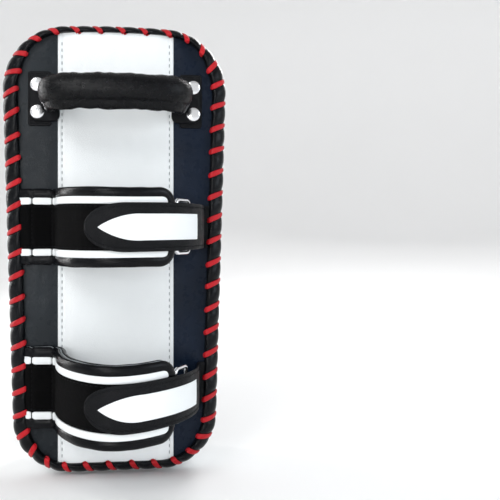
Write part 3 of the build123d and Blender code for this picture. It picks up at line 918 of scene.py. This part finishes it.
class KICKPAD_OT_rim(bpy.types.Operator):
    """Rolled rim round the back and the flat lace that is whipped round it"""

    bl_idname = "kick_pad.rim"
    bl_label = "Rim and lacing"

    def execute(self, context):
        s = sizes()
        outline = Outline()
        columns = 16 * s.lace_count

        def rim(across, along):
            return rim_point(outline, across, along)

        binding = open_cover("rim_binding", columns, 22, rim, material("black leather"),
                             out_of_back, RIM_LEATHER, (outline.perimeter, 0.03))
        fix_piece(binding, "pad", "black_leather", "edge_binding")

        slant = s.lace_slant / outline.perimeter
        step, hole_over = 0.0004, 0.93

        def lace_frame(index, over):
            """Place of a stitch on the roll, with the ways across it, out of it and along it."""
            wander = 0.05 * ripple(index * 1.7, 3, 1, 1.0)
            wander += 0.10 * over * ripple(index * 2.3, 7, 5, 1.0)
            share = (index + wander) / s.lace_count - over * slant
            spot = rim_point(outline, share, over)
            along = rim_point(outline, share + step, over) - rim_point(outline, share - step, over)
            ahead = rim_point(outline, share - 0.02 * slant, min(1, over + 0.02))
            behind = rim_point(outline, share + 0.02 * slant, max(0, over - 0.02))
            run = (ahead - behind).normalized()
            out = along.cross(run).normalized()
            edge = outline.at(share)[1]
            if out.dot(Vector((edge.x * 0.4, -1, edge.y * 0.4))) < 0:
                out = -out
            return spot, run.cross(out).normalized(), out, run

        def lace(index):
            def place(across, along):
                spot, side, out, _ = lace_frame(index, mix(0.03, hole_over, both_ends(along)))
                closing = round_end(min(along, 1 - along) / 0.10)
                wide = s.lace_width / 2 * closing
                wide *= 0.62 + 0.38 * ease(along / 0.55) - 0.16 * ease((along - 0.75) / 0.25)
                thick = s.lace_thickness / 2 * closing
                turn = 2 * math.pi * across
                sunk = 2 - ease(along / 0.16) - ease((1 - along) / 0.14)
                lift = 0.0007 - 0.0024 * sunk
                return (spot + out * (lift + thick * rounded(math.sin(turn), 0.7))
                        + side * (wide * rounded(math.cos(turn), 0.8)))
            return place

        lacing = closed_form("rim_lacing", 14, 22, [lace(i) for i in range(s.lace_count)],
                             material("lace leather"), (0.012, 0.024))
        fix_piece(lacing, "pad", "red_lace", "lacing")

        # Flat near-black discs at each stitch's inner end: the punched hole, with painted shadow
        # round the lace there.
        bm = bmesh.new()
        for index in range(s.lace_count):
            spot, side, out, run = lace_frame(index, hole_over)
            basis = Matrix((side, run * 0.75, out * 0.2)).transposed().to_4x4()
            place = Matrix.Translation(spot + out * 0.0001) @ basis
            bmesh.ops.create_uvsphere(bm, u_segments=12, v_segments=6, radius=0.0034, matrix=place)
        bmesh.ops.recalc_face_normals(bm, faces=bm.faces)
        hole_shadows = finish_mesh("lace_hole_shadows", bm, material("lace hole with painted shadow"))
        fix_piece(hole_shadows, "pad", "black_leather")
        return {"FINISHED"}


# ---------------------------------------------------------------- handle
def leather_plate(name, low, high, corner, edge, finish):
    """Flat leather piece that fills a box, with round corners and a rolled edge at its back."""
    bm = bmesh.new()
    place = Matrix.Translation((high + low) / 2) @ Matrix.Diagonal((*(high - low), 1))
    bmesh.ops.create_cube(bm, size=1, matrix=place)
    standing = [e for e in bm.edges if abs((e.verts[0].co - e.verts[1].co).normalized().y) > 0.9]
    bmesh.ops.bevel(bm, geom=standing, offset=corner, affect="EDGES", segments=6, profile=0.5,
                    material=-1)
    rear = [e for e in bm.edges if all(abs(v.co.y - low.y) < 1e-6 for v in e.verts)]
    bmesh.ops.bevel(bm, geom=rear, offset=edge, affect="EDGES", segments=3, profile=0.5,
                    material=-1)
    bmesh.ops.recalc_face_normals(bm, faces=bm.faces)
    piece = finish_mesh(name, bm, finish, smooth=False)
    for polygon in piece.data.polygons:
        polygon.use_smooth = abs(polygon.normal.y) < 0.98
    return piece


def box_round_frames(low, high, inset, pitch, y):
    """Stitch frames along a rectangle's four sides, in from its edges."""
    corners = [Vector((x, y, z)) for x, z in (
        (low.x + inset, low.z + inset), (high.x - inset, low.z + inset),
        (high.x - inset, high.z - inset), (low.x + inset, high.z - inset))]
    frames = []
    for start, end in zip(corners, corners[1:] + corners[:1]):
        count = round((end - start).length / pitch)
        along = (end - start).normalized()
        frames += [(start.lerp(end, (i + 0.5) / count), along, OUT_OF_BACK) for i in range(count)]
    return frames


class KICKPAD_OT_handle(bpy.types.Operator):
    """Padded carrying handle, its riveted ends and the patches under them"""

    bl_idname = "kick_pad.handle"
    bl_label = "Handle"

    def execute(self, context):
        c = cuff_sizes()
        axis = hinges["handle_rock"]
        foot_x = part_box("handle_cover")[1].x - c.handle_radius
        tab_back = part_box("handle_tab_left")[0].y
        shoulder = axis.y - c.handle_rise
        lean, shoulder_bend, middle_bend = 0.002, 0.019, 0.18
        route = bent_line(
            [(-foot_x - lean, tab_back + 0.001), (lean - foot_x, shoulder),
             (0, shoulder - c.handle_bow), (foot_x - lean, shoulder),
             (foot_x + lean, tab_back + 0.001)],
            [shoulder_bend, middle_bend, shoulder_bend])
        seam_turn = math.radians(-80)

        def roll(turn, along, lift=0.0):
            """Point of the roll and the way out of it. Turn is 0 at the back and positive above."""
            distance = along * route.length
            spot, way = route.at(distance)
            out = Vector((way.y, -way.x))
            if out.y > 0 and abs(out.x) < abs(out.y):
                out = -out
            to_end = min(distance, route.length - distance)
            share = ease(to_end / 0.040)
            closing = round_end(to_end / 0.006)
            deep = mix(0.0068, c.handle_radius, share) * closing
            tall = mix(0.0135, c.handle_radius + 0.0006, share) * closing
            sine, cosine = math.sin(turn), math.cos(turn)
            gather = 0.0008 * ripple(distance, 0, sine * 0.01, 150) * abs(sine) ** 2
            soft = 0.0006 * ripple(distance, cosine * 0.02, sine * 0.02, 55)
            off_seam = math.remainder(turn - seam_turn, 2 * math.pi) * c.handle_radius
            lip = (0.0042 + 0.0008 * ripple(distance, 4, 0, 95)) * dip(off_seam, 0.0036)
            groove = 0.0008 * dip(off_seam - 0.0060, 0.0012)
            grow = (gather + soft - groove + lip * ease(to_end / 0.02)) * share + lift
            centre = Vector((spot.x, spot.y, axis.z))
            outward = Vector((out.x, out.y, 0))
            spot = centre + outward * cosine * (deep + grow)
            return spot + UP * rounded(sine, 0.95) * (tall + grow), outward * cosine + UP * sine

        def cover(across, along):
            return roll(2 * math.pi * across, mix(along, both_ends(along), 0.35))[0]

        piece = closed_form("handle_roll", 64, 230, [cover], material("handle leather"),
                            (2 * math.pi * c.handle_radius, route.length))
        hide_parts("handle_cover", "handle_core")

        frames = []
        count, unsewn = round(route.length / 0.0050), 5
        row = seam_turn + 0.0062 / c.handle_radius
        for i in range(unsewn, count - unsewn):
            along = (i + 0.5) / count
            spot, out = roll(row, along, 0.0001)
            ahead = roll(row, along + 0.002, 0.0001)[0]
            frames.append((spot, (ahead - spot).normalized(), out.normalized()))
        seam = stitching("handle_seam", frames, 0.0034, 0.0008, 0.0007, material("black thread"))
        for part in (piece, seam):
            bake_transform(part)

        frames = []
        for name in ("left", "right"):
            for part, corner, edge in (("patch", 0.0025, 0.0007), ("tab", 0.006, 0.0009)):
                low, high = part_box(f"handle_{part}_{name}")
                plate = leather_plate(f"handle_{part}_cover_{name}", low, high, corner, edge,
                                      material("dull leather"))
                fix_piece(plate, "pad", "black_leather", f"handle_{part}_{name}")
            low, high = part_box(f"handle_patch_{name}")
            frames += box_round_frames(low, high, 0.002, 0.0045, low.y)
        rows = stitching("patch_stitching", frames, 0.0032, 0.0008, 0.0007,
                         material("black thread"))
        fix_piece(rows, "pad", "black_leather")

        low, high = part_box("handle_rivets")
        radius, rise = 0.0062, 0.0019
        domed = ((0.96, 0.0), (1.0, 0.18), (0.985, 0.36), (0.90, 0.55), (0.80, 0.66),
                 (0.68, 0.80), (0.48, 0.92), (0.25, 0.985), (0.0, 1.0))
        bm = bmesh.new()
        for x in (low.x + radius, high.x - radius):
            for z in (low.z + radius, high.z - radius):
                centre = Vector((x, tab_back, z))
                profile = [centre + Vector((radius * out, -rise * up, 0)) for out, up in domed]
                spin_profile(bm, profile, centre, FORWARD, 32)
        close_up(bm)
        caps = finish_mesh("rivet_caps", bm, material("bright metal"))
        fix_piece(caps, "pad", "bright_metal", "handle_rivets")
        return {"FINISHED"}


# ---------------------------------------------------------------- cuffs and straps
class Cuff:
    """The lines that a cuff and its strap follow, and the way from them to points in space."""

    def __init__(self, place):
        c = cuff_sizes()
        self.place = place
        self.base = hinges[f"{place}_cuff_open"]
        self.root = hinges[f"{place}_strap_open"]
        self.level = self.base.z
        self.sag = c.upper_sag if place == "upper" else c.lower_sag
        self.squeeze = c.crown_squeeze if place == "upper" else 0.0
        self.spread = 0.0 if place == "upper" else c.base_spread
        self.foot_y = self.base.y
        self.left = -self.base.x - 0.005
        self.right = self.root.x - c.strap_layer - 0.001
        inner_rim = Outline().half_width(self.level, sizes().rim_width)
        self.route = self.cuff_line(-inner_rim - 0.0035, BACK_Y - 0.0045, 0.010)
        self.strap_route = self.strap_line(inner_rim + 0.004, BACK_Y - 0.0024, 0.004)

    def cuff_line(self, start_x, flat_y, bend):
        """From the sewn base, flat on the back, round a bend and over the arch to the free end."""
        c = cuff_sizes()
        places = [(mix(start_x, -self.left - bend, i / 24), flat_y + 0.0022 * (1 - ease(i / 12)))
                  for i in range(24)]
        for i in range(10):
            turn = math.pi / 2 * i / 10
            places.append((-self.left - bend * (1 - math.sin(turn)),
                           flat_y - bend * (1 - math.cos(turn))))
        lift = math.asin((self.foot_y - flat_y + bend) / c.arch_rise)
        end = math.asin(c.cuff_end / self.right)
        return Route(places + [
            self.arch(mix(lift - math.pi / 2, end, i / 110), 0) for i in range(111)])

    def strap_line(self, start_x, flat_y, fold):
        """From the sewn anchor, flat on the back, round a fold and over the arch to the tip."""
        c = cuff_sizes()
        places = [(mix(start_x, self.root.x + fold, i / 8), flat_y) for i in range(8)]
        for i in range(7):
            turn = math.pi / 2 * i / 6
            places.append((self.root.x + fold * (1 - math.sin(turn)) - 0.001 * i / 6,
                           flat_y - fold * (1 - math.cos(turn))))
        tip = -math.asin(-c.tongue_tip / (self.left + c.strap_layer))
        return Route(places + [
            self.arch(mix(math.pi / 2, tip, i / 130), c.strap_layer) for i in range(131)])

    def arch(self, turn, layer):
        """Place on the arch: turn is 0 at its crown and grows towards the strap's root."""
        c = cuff_sizes()
        reach = (self.left if turn < 0 else self.right) + layer
        return (reach * math.sin(turn), self.foot_y - (c.arch_rise + layer) * math.cos(turn))

    def drop(self, x):
        """How far the soft cuff hangs down there."""
        return self.sag * dip(x, 0.040)

    def on_cuff(self, distance, height, out):
        """Point at a distance along the cuff, a height from its middle and out of its layer."""
        spot, way = self.route.at(distance)
        away = Vector((way.y, -way.x)) * out * mix(0.5, 1.0, ease(distance / 0.016))
        squeeze = self.squeeze * dip(spot.x - 0.010, 0.050)
        spread = self.spread * (1 - ease((distance - 0.03) / 0.04))
        height *= 1 - squeeze + spread
        return Vector((
            spot.x + away.x, spot.y + away.y, self.level + height - self.drop(spot.x)))

    def on_strap(self, distance, height, out):
        """Point at a distance along the strap, a height from its middle and out of its layer."""
        spot, way = self.strap_route.at(distance)
        away = Vector((-way.y, way.x)) * out
        return Vector((
            spot.x + away.x, spot.y + away.y, self.level + height - self.drop(spot.x)))

    def bend(self, piece, slot, nodes, body, start, end):
        """Hides the piece's frame nodes and bakes its place into its mesh; the piece neither bends
        nor moves with a body, which is not used.
        """
        if nodes:
            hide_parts(*[f"{self.place}_{node}" for node in nodes])
        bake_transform(piece)

    def bend_cuff(self, piece, slot, *nodes):
        """The piece keeps its place; it does not bend at the cuff's sewn base."""
        self.bend(piece, slot, nodes, "cuff", (self.base.x - 0.003, self.foot_y + 0.003),
                  (self.base.x + 0.008, self.foot_y - 0.014))

    def bend_strap(self, piece, slot, *nodes):
        """The piece keeps its place; it does not bend at the strap's sewn root."""
        self.bend(piece, slot, nodes, "closing_strap", (self.root.x, BACK_Y - 0.002),
                  (self.root.x, self.foot_y - 0.008))

    def thread_frame(self, distance, height, out):
        """Stitch frame of a thread that runs across the cuff."""
        spot = self.on_cuff(distance, height, out)
        return spot, UP, (self.on_cuff(distance, height, out + 0.001) - spot).normalized()

    def seam_frames(self, start, end, height, out, pitch):
        """Stitch frames along the cuff at a height."""
        count = max(1, round((end - start) / pitch))
        frames = []
        for i in range(count):
            distance = mix(start, end, (i + 0.5) / count)
            spot, _, away = self.thread_frame(distance, height, out)
            ahead = self.on_cuff(distance + 0.001, height, out)
            frames.append((spot, (ahead - spot).normalized(), away))
        return frames


def flat_section(on, start, end, half_width, low, high, end_rounding=0.002, edge_groove=None):
    """place(across, along) for a closed flat strip on a cuff or strap. half_width(distance) is
    half its width, low and high are its inner and outer layers, and edge_groove is the inset,
    depth and width of the groove that its stitches pull."""
    middle, half = (low + high) / 2, (high - low) / 2

    def place(across, along):
        distance = mix(start, end, mix(along, both_ends(along), 0.6))
        closing = round_end(min(distance - start, end - distance) / end_rounding)
        turn = 2 * math.pi * across
        height = half_width(distance) * math.cos(turn)
        out = half * rounded(math.sin(turn), 0.3) * closing
        if edge_groove and math.sin(turn) > 0:
            inset, depth, width = edge_groove
            out -= depth * dip(half_width(distance) - abs(height) - inset, width) * closing
        return on(distance, height * mix(0.9, 1.0, closing), middle + out)

    return place


class KICKPAD_OT_cuffs(bpy.types.Operator):
    """Padded forearm cuffs with piping, white bands and hook-and-loop strips"""

    bl_idname = "kick_pad.cuffs"
    bl_label = "Cuffs"

    def execute(self, context):
        for place in PLACES:
            self.make_cuff(Cuff(place))
        return {"FINISHED"}

    def make_cuff(self, cuff):
        c = cuff_sizes()
        place = cuff.place
        length = cuff.route.length
        black, thread = material("black leather"), material("black thread")
        top = c.cuff_half_height - c.piping_half
        crossings = [cuff.route.distance_at_x(x) for x in (-0.0725, cuff.base.x - 0.001)]

        def pull(distance):
            """How hard the cross stitching pulls the cuff down there."""
            return max(dip(distance - crossing, 0.0013) for crossing in crossings)

        def body(across, along):
            distance = length * mix(along, both_ends(along), 0.5)
            closing = round_end(max(0.0, min(distance, length - 0.002 - distance)) / 0.006)
            turn = 2 * math.pi * across
            height = (top + 0.001) * math.cos(turn) * mix(0.93, 1, closing)
            puff = 0.0009 * ripple(distance, height, 3, 45)
            puff += 0.0006 * ripple(distance, height, 9, 120)
            thick = 0.0037 + puff * abs(math.sin(turn))
            thick *= rounded(math.sin(turn), 0.4) * closing
            return cuff.on_cuff(distance, height, -0.001 + thick - 0.0012 * pull(distance))

        piece = closed_form(f"{place}_cuff_body", 48, 150, [body], material("dull leather"),
                            (0.14, length))
        cuff.bend_cuff(piece, "black_leather", "cuff_pad", "cuff_base")

        lining_start = cuff.route.distance_at_x(cuff.base.x + 0.0056)
        lining = flat_section(cuff.on_cuff, lining_start, length - 0.005, lambda distance: 0.0238,
                              -0.0066, -0.0038, 0.003, (0.002, 0.0004, 0.001))
        piece = closed_form(f"{place}_cuff_inside", 48, 120, [lining], material("lining"),
                            (2 * top, length))
        cuff.bend_cuff(piece, "lining", "cuff_lining")

        straight = length - c.corner - c.piping_half * 0.6
        quarter = math.pi / 2 * c.corner
        down = 2 * (top - c.corner)
        total = 2 * straight + 2 * quarter + down

        def edge_route(run):
            """Place along and across the cuff's edge, and the way out of it, round its free end."""
            side = 1
            if run > total / 2:
                run, side = total - run, -1
            if run < straight:
                return run, side * top, 0.0, side
            run -= straight
            if run < quarter:
                sine, cosine = math.sin(run / c.corner), math.cos(run / c.corner)
                return (straight + c.corner * sine, side * (top - c.corner * (1 - cosine)),
                        sine, side * cosine)
            run -= quarter
            return straight + c.corner, side * (top - c.corner - run), 1.0, 0.0

        def edge_roll(middle, half_out, half_wide, shift=0.0):
            """place(across, along) for a roll that runs round the cuff's edge."""
            def place_at(across, along):
                run = total * mix(along, both_ends(along), 0.15)
                distance, height, ahead, up = edge_route(run)
                closing = round_end(min(run, total - run) / 0.004)
                turn = 2 * math.pi * across
                soft = 0.0004 * ripple(distance, height, middle * 50, 75)
                pinch = 0.22 * pull(distance) * (ahead < 0.5)
                wide = (shift + (half_wide + soft) * math.cos(turn)) * closing * (1 - pinch)
                out = middle + (half_out + soft) * math.sin(turn) * closing * (1 - pinch)
                return cuff.on_cuff(distance + ahead * wide, height + up * wide, out)
            return place_at

        rolls = [edge_roll(0.0021, 0.0029, c.piping_half),
                 edge_roll(-0.0026, 0.0028, c.piping_half)]
        piping = closed_form(f"{place}_cuff_rolls", 18, 340, rolls, black, (0.03, total))
        cuff.bend_cuff(piping, "black_leather", "cuff_piping")
        seam = edge_roll(-0.0003, 0.0006, 0.0006, c.piping_half - 0.0008)
        piece = closed_form(f"{place}_cuff_seam", 8, 300, [seam], material("grey thread"),
                            (0.004, total))
        cuff.bend_cuff(piece, "white_leather")

        band_low, band_high = c.strap_half_width, top - c.piping_half + 0.0012
        band_middle, band_half = (band_low + band_high) / 2, (band_high - band_low) / 2 + 0.0002
        bands = []
        for side in (-1, 1):
            def on_band(distance, height, out, side=side):
                out -= 0.0012 * pull(distance)
                return cuff.on_cuff(distance, side * band_middle + height, out)

            bands.append(flat_section(
                on_band, 0.0015, straight + 0.0085,
                lambda distance: band_half * (1 - 0.35 * pull(distance)), 0.0020, 0.0046, 0.004))
        piece = closed_form(f"{place}_cuff_bands", 20, 220, bands, material("white leather"),
                            (2 * band_half, length))
        cuff.bend_cuff(piece, "white_leather", "white_bands")

        def on_loop(distance, height, out):
            out += 0.00025 * ripple(distance, height, 0, 400) - 0.0009 * pull(distance)
            return cuff.on_cuff(distance, height, out)

        loop = flat_section(on_loop, 0.0015, length - 0.004,
                            lambda distance: c.strap_half_width - 0.0006, 0.0020, 0.0044, 0.003)
        piece = closed_form(f"{place}_cuff_loop", 56, 200, [loop], material("loop tape"),
                            (2 * c.strap_half_width, length))
        cuff.bend_cuff(piece, "hook_and_loop", "loop_strip")

        half = c.strap_half_width
        count = round(2 * half / 0.0038)
        frames = []
        for side in (-1, 1):
            frames += cuff.seam_frames(0.006, straight, side * (half - 0.0022), 0.0045, 0.0040)
        for crossing in crossings:
            frames += [cuff.thread_frame(crossing, mix(-half, half, (i + 0.5) / count), 0.0036)
                       for i in range(count)]
        piece = stitching(f"{place}_cuff_stitching", frames, 0.0030, 0.0008, 0.0007, thread)
        cuff.bend_cuff(piece, "black_leather")

        frames = [cuff.thread_frame(crossing, side * band_middle, 0.0028)
                  for crossing in crossings for side in (-1, 1)]
        piece = stitching(f"{place}_cross_thread", frames, 2 * band_half + 0.002, 0.0014, 0.0022,
                          thread)
        cuff.bend_cuff(piece, "black_leather")


class KICKPAD_OT_straps(bpy.types.Operator):
    """Closing straps with round tongues, white flashes and hook tape"""

    bl_idname = "kick_pad.straps"
    bl_label = "Straps"

    def execute(self, context):
        for place in PLACES:
            self.make_strap(Cuff(place))
        return {"FINISHED"}

    def make_strap(self, cuff):
        c = cuff_sizes()
        place = cuff.place
        length = cuff.strap_route.length

        def half_width(distance):
            """Half of the strap's width, which narrows to its root and rounds off at its tip."""
            waist = 0.0008 * (1 - ease((distance - 0.02) / 0.06))
            return (c.strap_half_width - waist) * round_end((length - distance) / c.tongue)

        strap = flat_section(cuff.on_strap, 0.0, length, half_width, -0.0010, 0.0011, 0.0012,
                             (0.0030, 0.0003, 0.0009))
        piece = closed_form(f"{place}_strap_body", 72, 200, [strap], material("dull leather"),
                            (2 * c.strap_half_width, length))
        cuff.bend_strap(piece, "black_leather", "strap", "strap_anchor")

        start = cuff.strap_route.distance_at_x(c.flash_end, falling=True)
        end = cuff.strap_route.distance_at_x(c.flash_tip, falling=True)
        point, flash_half = 0.036, 0.0105

        def flash_width(distance):
            """Half of the flash's width: a pointed arch at its tip, square at its other end."""
            share = min(1.0, max(0.0, (end - distance) / point))
            swell = 1 + 0.05 * math.sin(share * math.pi)
            return flash_half * (1 - (1 - share) ** 2.1) ** 0.92 * swell

        flash = flat_section(cuff.on_strap, start, end, flash_width, 0.0009, 0.0017, 0.0006,
                             (0.0016, 0.00025, 0.0006))
        piece = closed_form(f"{place}_strap_badge", 60, 150, [flash], material("white leather"),
                            (2 * flash_half, end - start))
        cuff.bend_strap(piece, "white_leather", "strap_flash")

        hook_end = cuff.strap_route.distance_at_x(-0.018, falling=True)
        hook_start = cuff.strap_route.distance_at_x(0.036, falling=True)
        hook = flat_section(cuff.on_strap, hook_start, hook_end,
                            lambda distance: min(0.0172, half_width(distance) - 0.002),
                            -0.0019, -0.0009, 0.0008)
        piece = closed_form(f"{place}_strap_hooks", 40, 80, [hook], material("hook tape"),
                            (0.034, hook_end - hook_start))
        cuff.bend_strap(piece, "hook_and_loop", "hook_patch")

        def sewn(run, side, out=0.0009):
            """Point of the strap's edge stitching."""
            return cuff.on_strap(run, side * max(0.0, half_width(run) - 0.0030), out)

        frames = []
        pitch, step = 0.0038, 0.001
        for side in (-1, 1):
            run = 0.008
            while run < length - 0.0035:
                spot = sewn(run, side)
                ahead = sewn(run + step, side) - spot
                away = sewn(run, side, 0.0019) - spot
                frames.append((spot, ahead.normalized(), away.normalized()))
                run += pitch / max(1.0, ahead.length / step)
        piece = stitching(f"{place}_strap_stitching", frames, 0.0028, 0.0007, 0.0005,
                          material("black thread"))
        cuff.bend_strap(piece, "black_leather")


# ---------------------------------------------------------------- carried-over pieces
class KICKPAD_OT_frame_finishes(bpy.types.Operator):
    """Finishes of the pieces whose shape comes straight from the frame"""

    bl_idname = "kick_pad.frame_finishes"
    bl_label = "Frame finishes"

    def execute(self, context):
        finishes = {
            "impact_foam": "soft foam", "core_foam": "core foam",
            "backing_board": "fibre board", "rivet_washers": "plain steel",
            "emblem_rings": "white print", "emblem_dot": "red print",
        }
        for place in PLACES:
            finishes[f"{place}_ring"] = "bright metal"
            finishes[f"{place}_ring_loop"] = "dull leather"
        for node, finish in finishes.items():
            piece = frame["nodes"][node]
            piece.data.materials.clear()
            piece.data.materials.append(material(finish))
        return {"FINISHED"}


# ---------------------------------------------------------------- floor, light and camera
class KICKPAD_OT_stage(bpy.types.Operator):
    """Pale floor that curves up all round, soft lights and the camera"""

    bl_idname = "kick_pad.stage"
    bl_label = "Stage"

    def execute(self, context):
        self.make_floor()
        self.make_lights(context.scene)
        self.make_camera(context.scene)
        context.scene.view_settings.view_transform = "Standard"
        return {"FINISHED"}

    def make_floor(self):
        reach, curve, wall = 3.2, 1.2, 1.6
        bm = bmesh.new()
        profile = [Vector((0, 0, 0)), Vector((reach - curve, 0, 0))]
        for i in range(1, 13):
            turn = math.pi / 2 * i / 12
            profile.append(Vector((
                reach - curve + curve * math.sin(turn), 0, curve * (1 - math.cos(turn)))))
        profile.append(Vector((reach, 0, curve + wall)))
        spin_profile(bm, profile, (0, 0, 0), UP, 64)
        bmesh.ops.remove_doubles(bm, verts=bm.verts, dist=1e-5)
        bm.normal_update()
        if sum(f.normal.z for f in bm.faces if f.calc_center_median().z < 0.01) < 0:
            bmesh.ops.reverse_faces(bm, faces=bm.faces)
        tree, shader = material_base("paper sweep", 0.85)
        cloudy = noise_node(tree, coordinates(tree), 3.0, 2.0)
        blend_colour(tree, cloudy, (0.90, 0.90, 0.90), (0.92, 0.92, 0.92),
                     shader.inputs["Base Color"])
        finish_mesh("studio_floor", bm, material("paper sweep"))

    def make_lights(self, scene):
        world = bpy.data.worlds.new("studio")
        world.use_nodes = True
        sky = world.node_tree.nodes["Background"].inputs
        sky["Color"].default_value = (1.0, 1.0, 1.0, 1)
        sky["Strength"].default_value = 0.55
        scene.world = world

        middle = Vector((0, 0, 0.2))
        for name, place, width, height, power, tint in (
            ("key", (-0.9, -1.5, 1.5), 0.7, 0.9, 14, (1.0, 1.0, 1.0)),
            ("front", (-0.5, -1.8, 0.35), 0.6, 0.6, 8, (1.0, 1.0, 1.0)),
            ("fill", (1.7, -1.0, 0.8), 0.6, 0.9, 9, (0.80, 0.90, 1.0)),
            ("face", (1.0, 1.7, 1.3), 0.8, 0.8, 20, (1.0, 1.0, 1.0)),
            ("face strip", (-1.6, 0.95, 0.6), 0.3, 1.7, 18, (1.0, 1.0, 1.0)),
        ):
            light = bpy.data.objects.new(name, bpy.data.lights.new(name, "AREA"))
            light.data.energy = power
            light.data.shape = "RECTANGLE"
            light.data.size, light.data.size_y = width, height
            light.data.color = tint
            light.location = place
            light.rotation_mode = "QUATERNION"
            light.rotation_quaternion = (Vector(place) - middle).to_track_quat("Z", "Y")
            scene.collection.objects.link(light)

    def make_camera(self, scene):
        distance, height, turn = 0.62, 0.218, math.radians(6.5)
        camera = bpy.data.objects.new("camera", bpy.data.cameras.new("camera"))
        camera.data.sensor_width = 36.0
        camera.data.lens = 49.8
        camera.data.shift_x = 0.11
        camera.data.shift_y = -0.042
        camera.location = (0, BACK_Y - distance, height)
        camera.rotation_mode = "QUATERNION"
        ahead = Vector((math.sin(turn), math.cos(turn), 0))
        camera.rotation_quaternion = (-ahead).to_track_quat("Z", "Y")
        scene.collection.objects.link(camera)
        scene.camera = camera


class KICKPAD_PT_panel(bpy.types.Panel):
    """The pad's sizes and colours, and a button for each group of pieces"""

    bl_idname = "KICKPAD_PT_panel"
    bl_label = "Kick pad"
    bl_space_type = "VIEW_3D"
    bl_region_type = "UI"
    bl_category = "Kick pad"

    def draw(self, context):
        for group in (context.scene.kick_pad_sizes, context.scene.kick_pad_cuff_sizes,
                      context.scene.kick_pad_colours):
            box = self.layout.box()
            for name in group.__annotations__:
                box.prop(group, name)
        for operator in OPERATORS:
            self.layout.operator(operator.bl_idname)


OPERATORS = (
    KICKPAD_OT_stage, KICKPAD_OT_body_covers, KICKPAD_OT_back_panels, KICKPAD_OT_rim,
    KICKPAD_OT_handle, KICKPAD_OT_cuffs, KICKPAD_OT_straps, KICKPAD_OT_frame_finishes,
)
GROUPS = {
    "kick_pad_sizes": KickPadSizes, "kick_pad_cuff_sizes": KickPadCuffSizes,
    "kick_pad_colours": KickPadColours,
}


def register():
    """Adds the sizes, the colours, the operators and the panel."""
    for name, group in GROUPS.items():
        bpy.utils.register_class(group)
        setattr(bpy.types.Scene, name, bpy.props.PointerProperty(type=group))
    for item in (*OPERATORS, KICKPAD_PT_panel):
        bpy.utils.register_class(item)


def unregister():
    """Removes what register added."""
    for item in (KICKPAD_PT_panel, *reversed(OPERATORS)):
        bpy.utils.unregister_class(item)
    for name, group in GROUPS.items():
        delattr(bpy.types.Scene, name)
        bpy.utils.unregister_class(group)


def main():
    """Makes the whole pad."""
    register()
    make_materials()
    bpy.ops.kick_pad.stage()
    bpy.ops.kick_pad.body_covers()
    bpy.ops.kick_pad.back_panels()
    bpy.ops.kick_pad.rim()
    bpy.ops.kick_pad.handle()
    bpy.ops.kick_pad.cuffs()
    bpy.ops.kick_pad.straps()
    bpy.ops.kick_pad.frame_finishes()


if __name__ == "__main__":
    main()
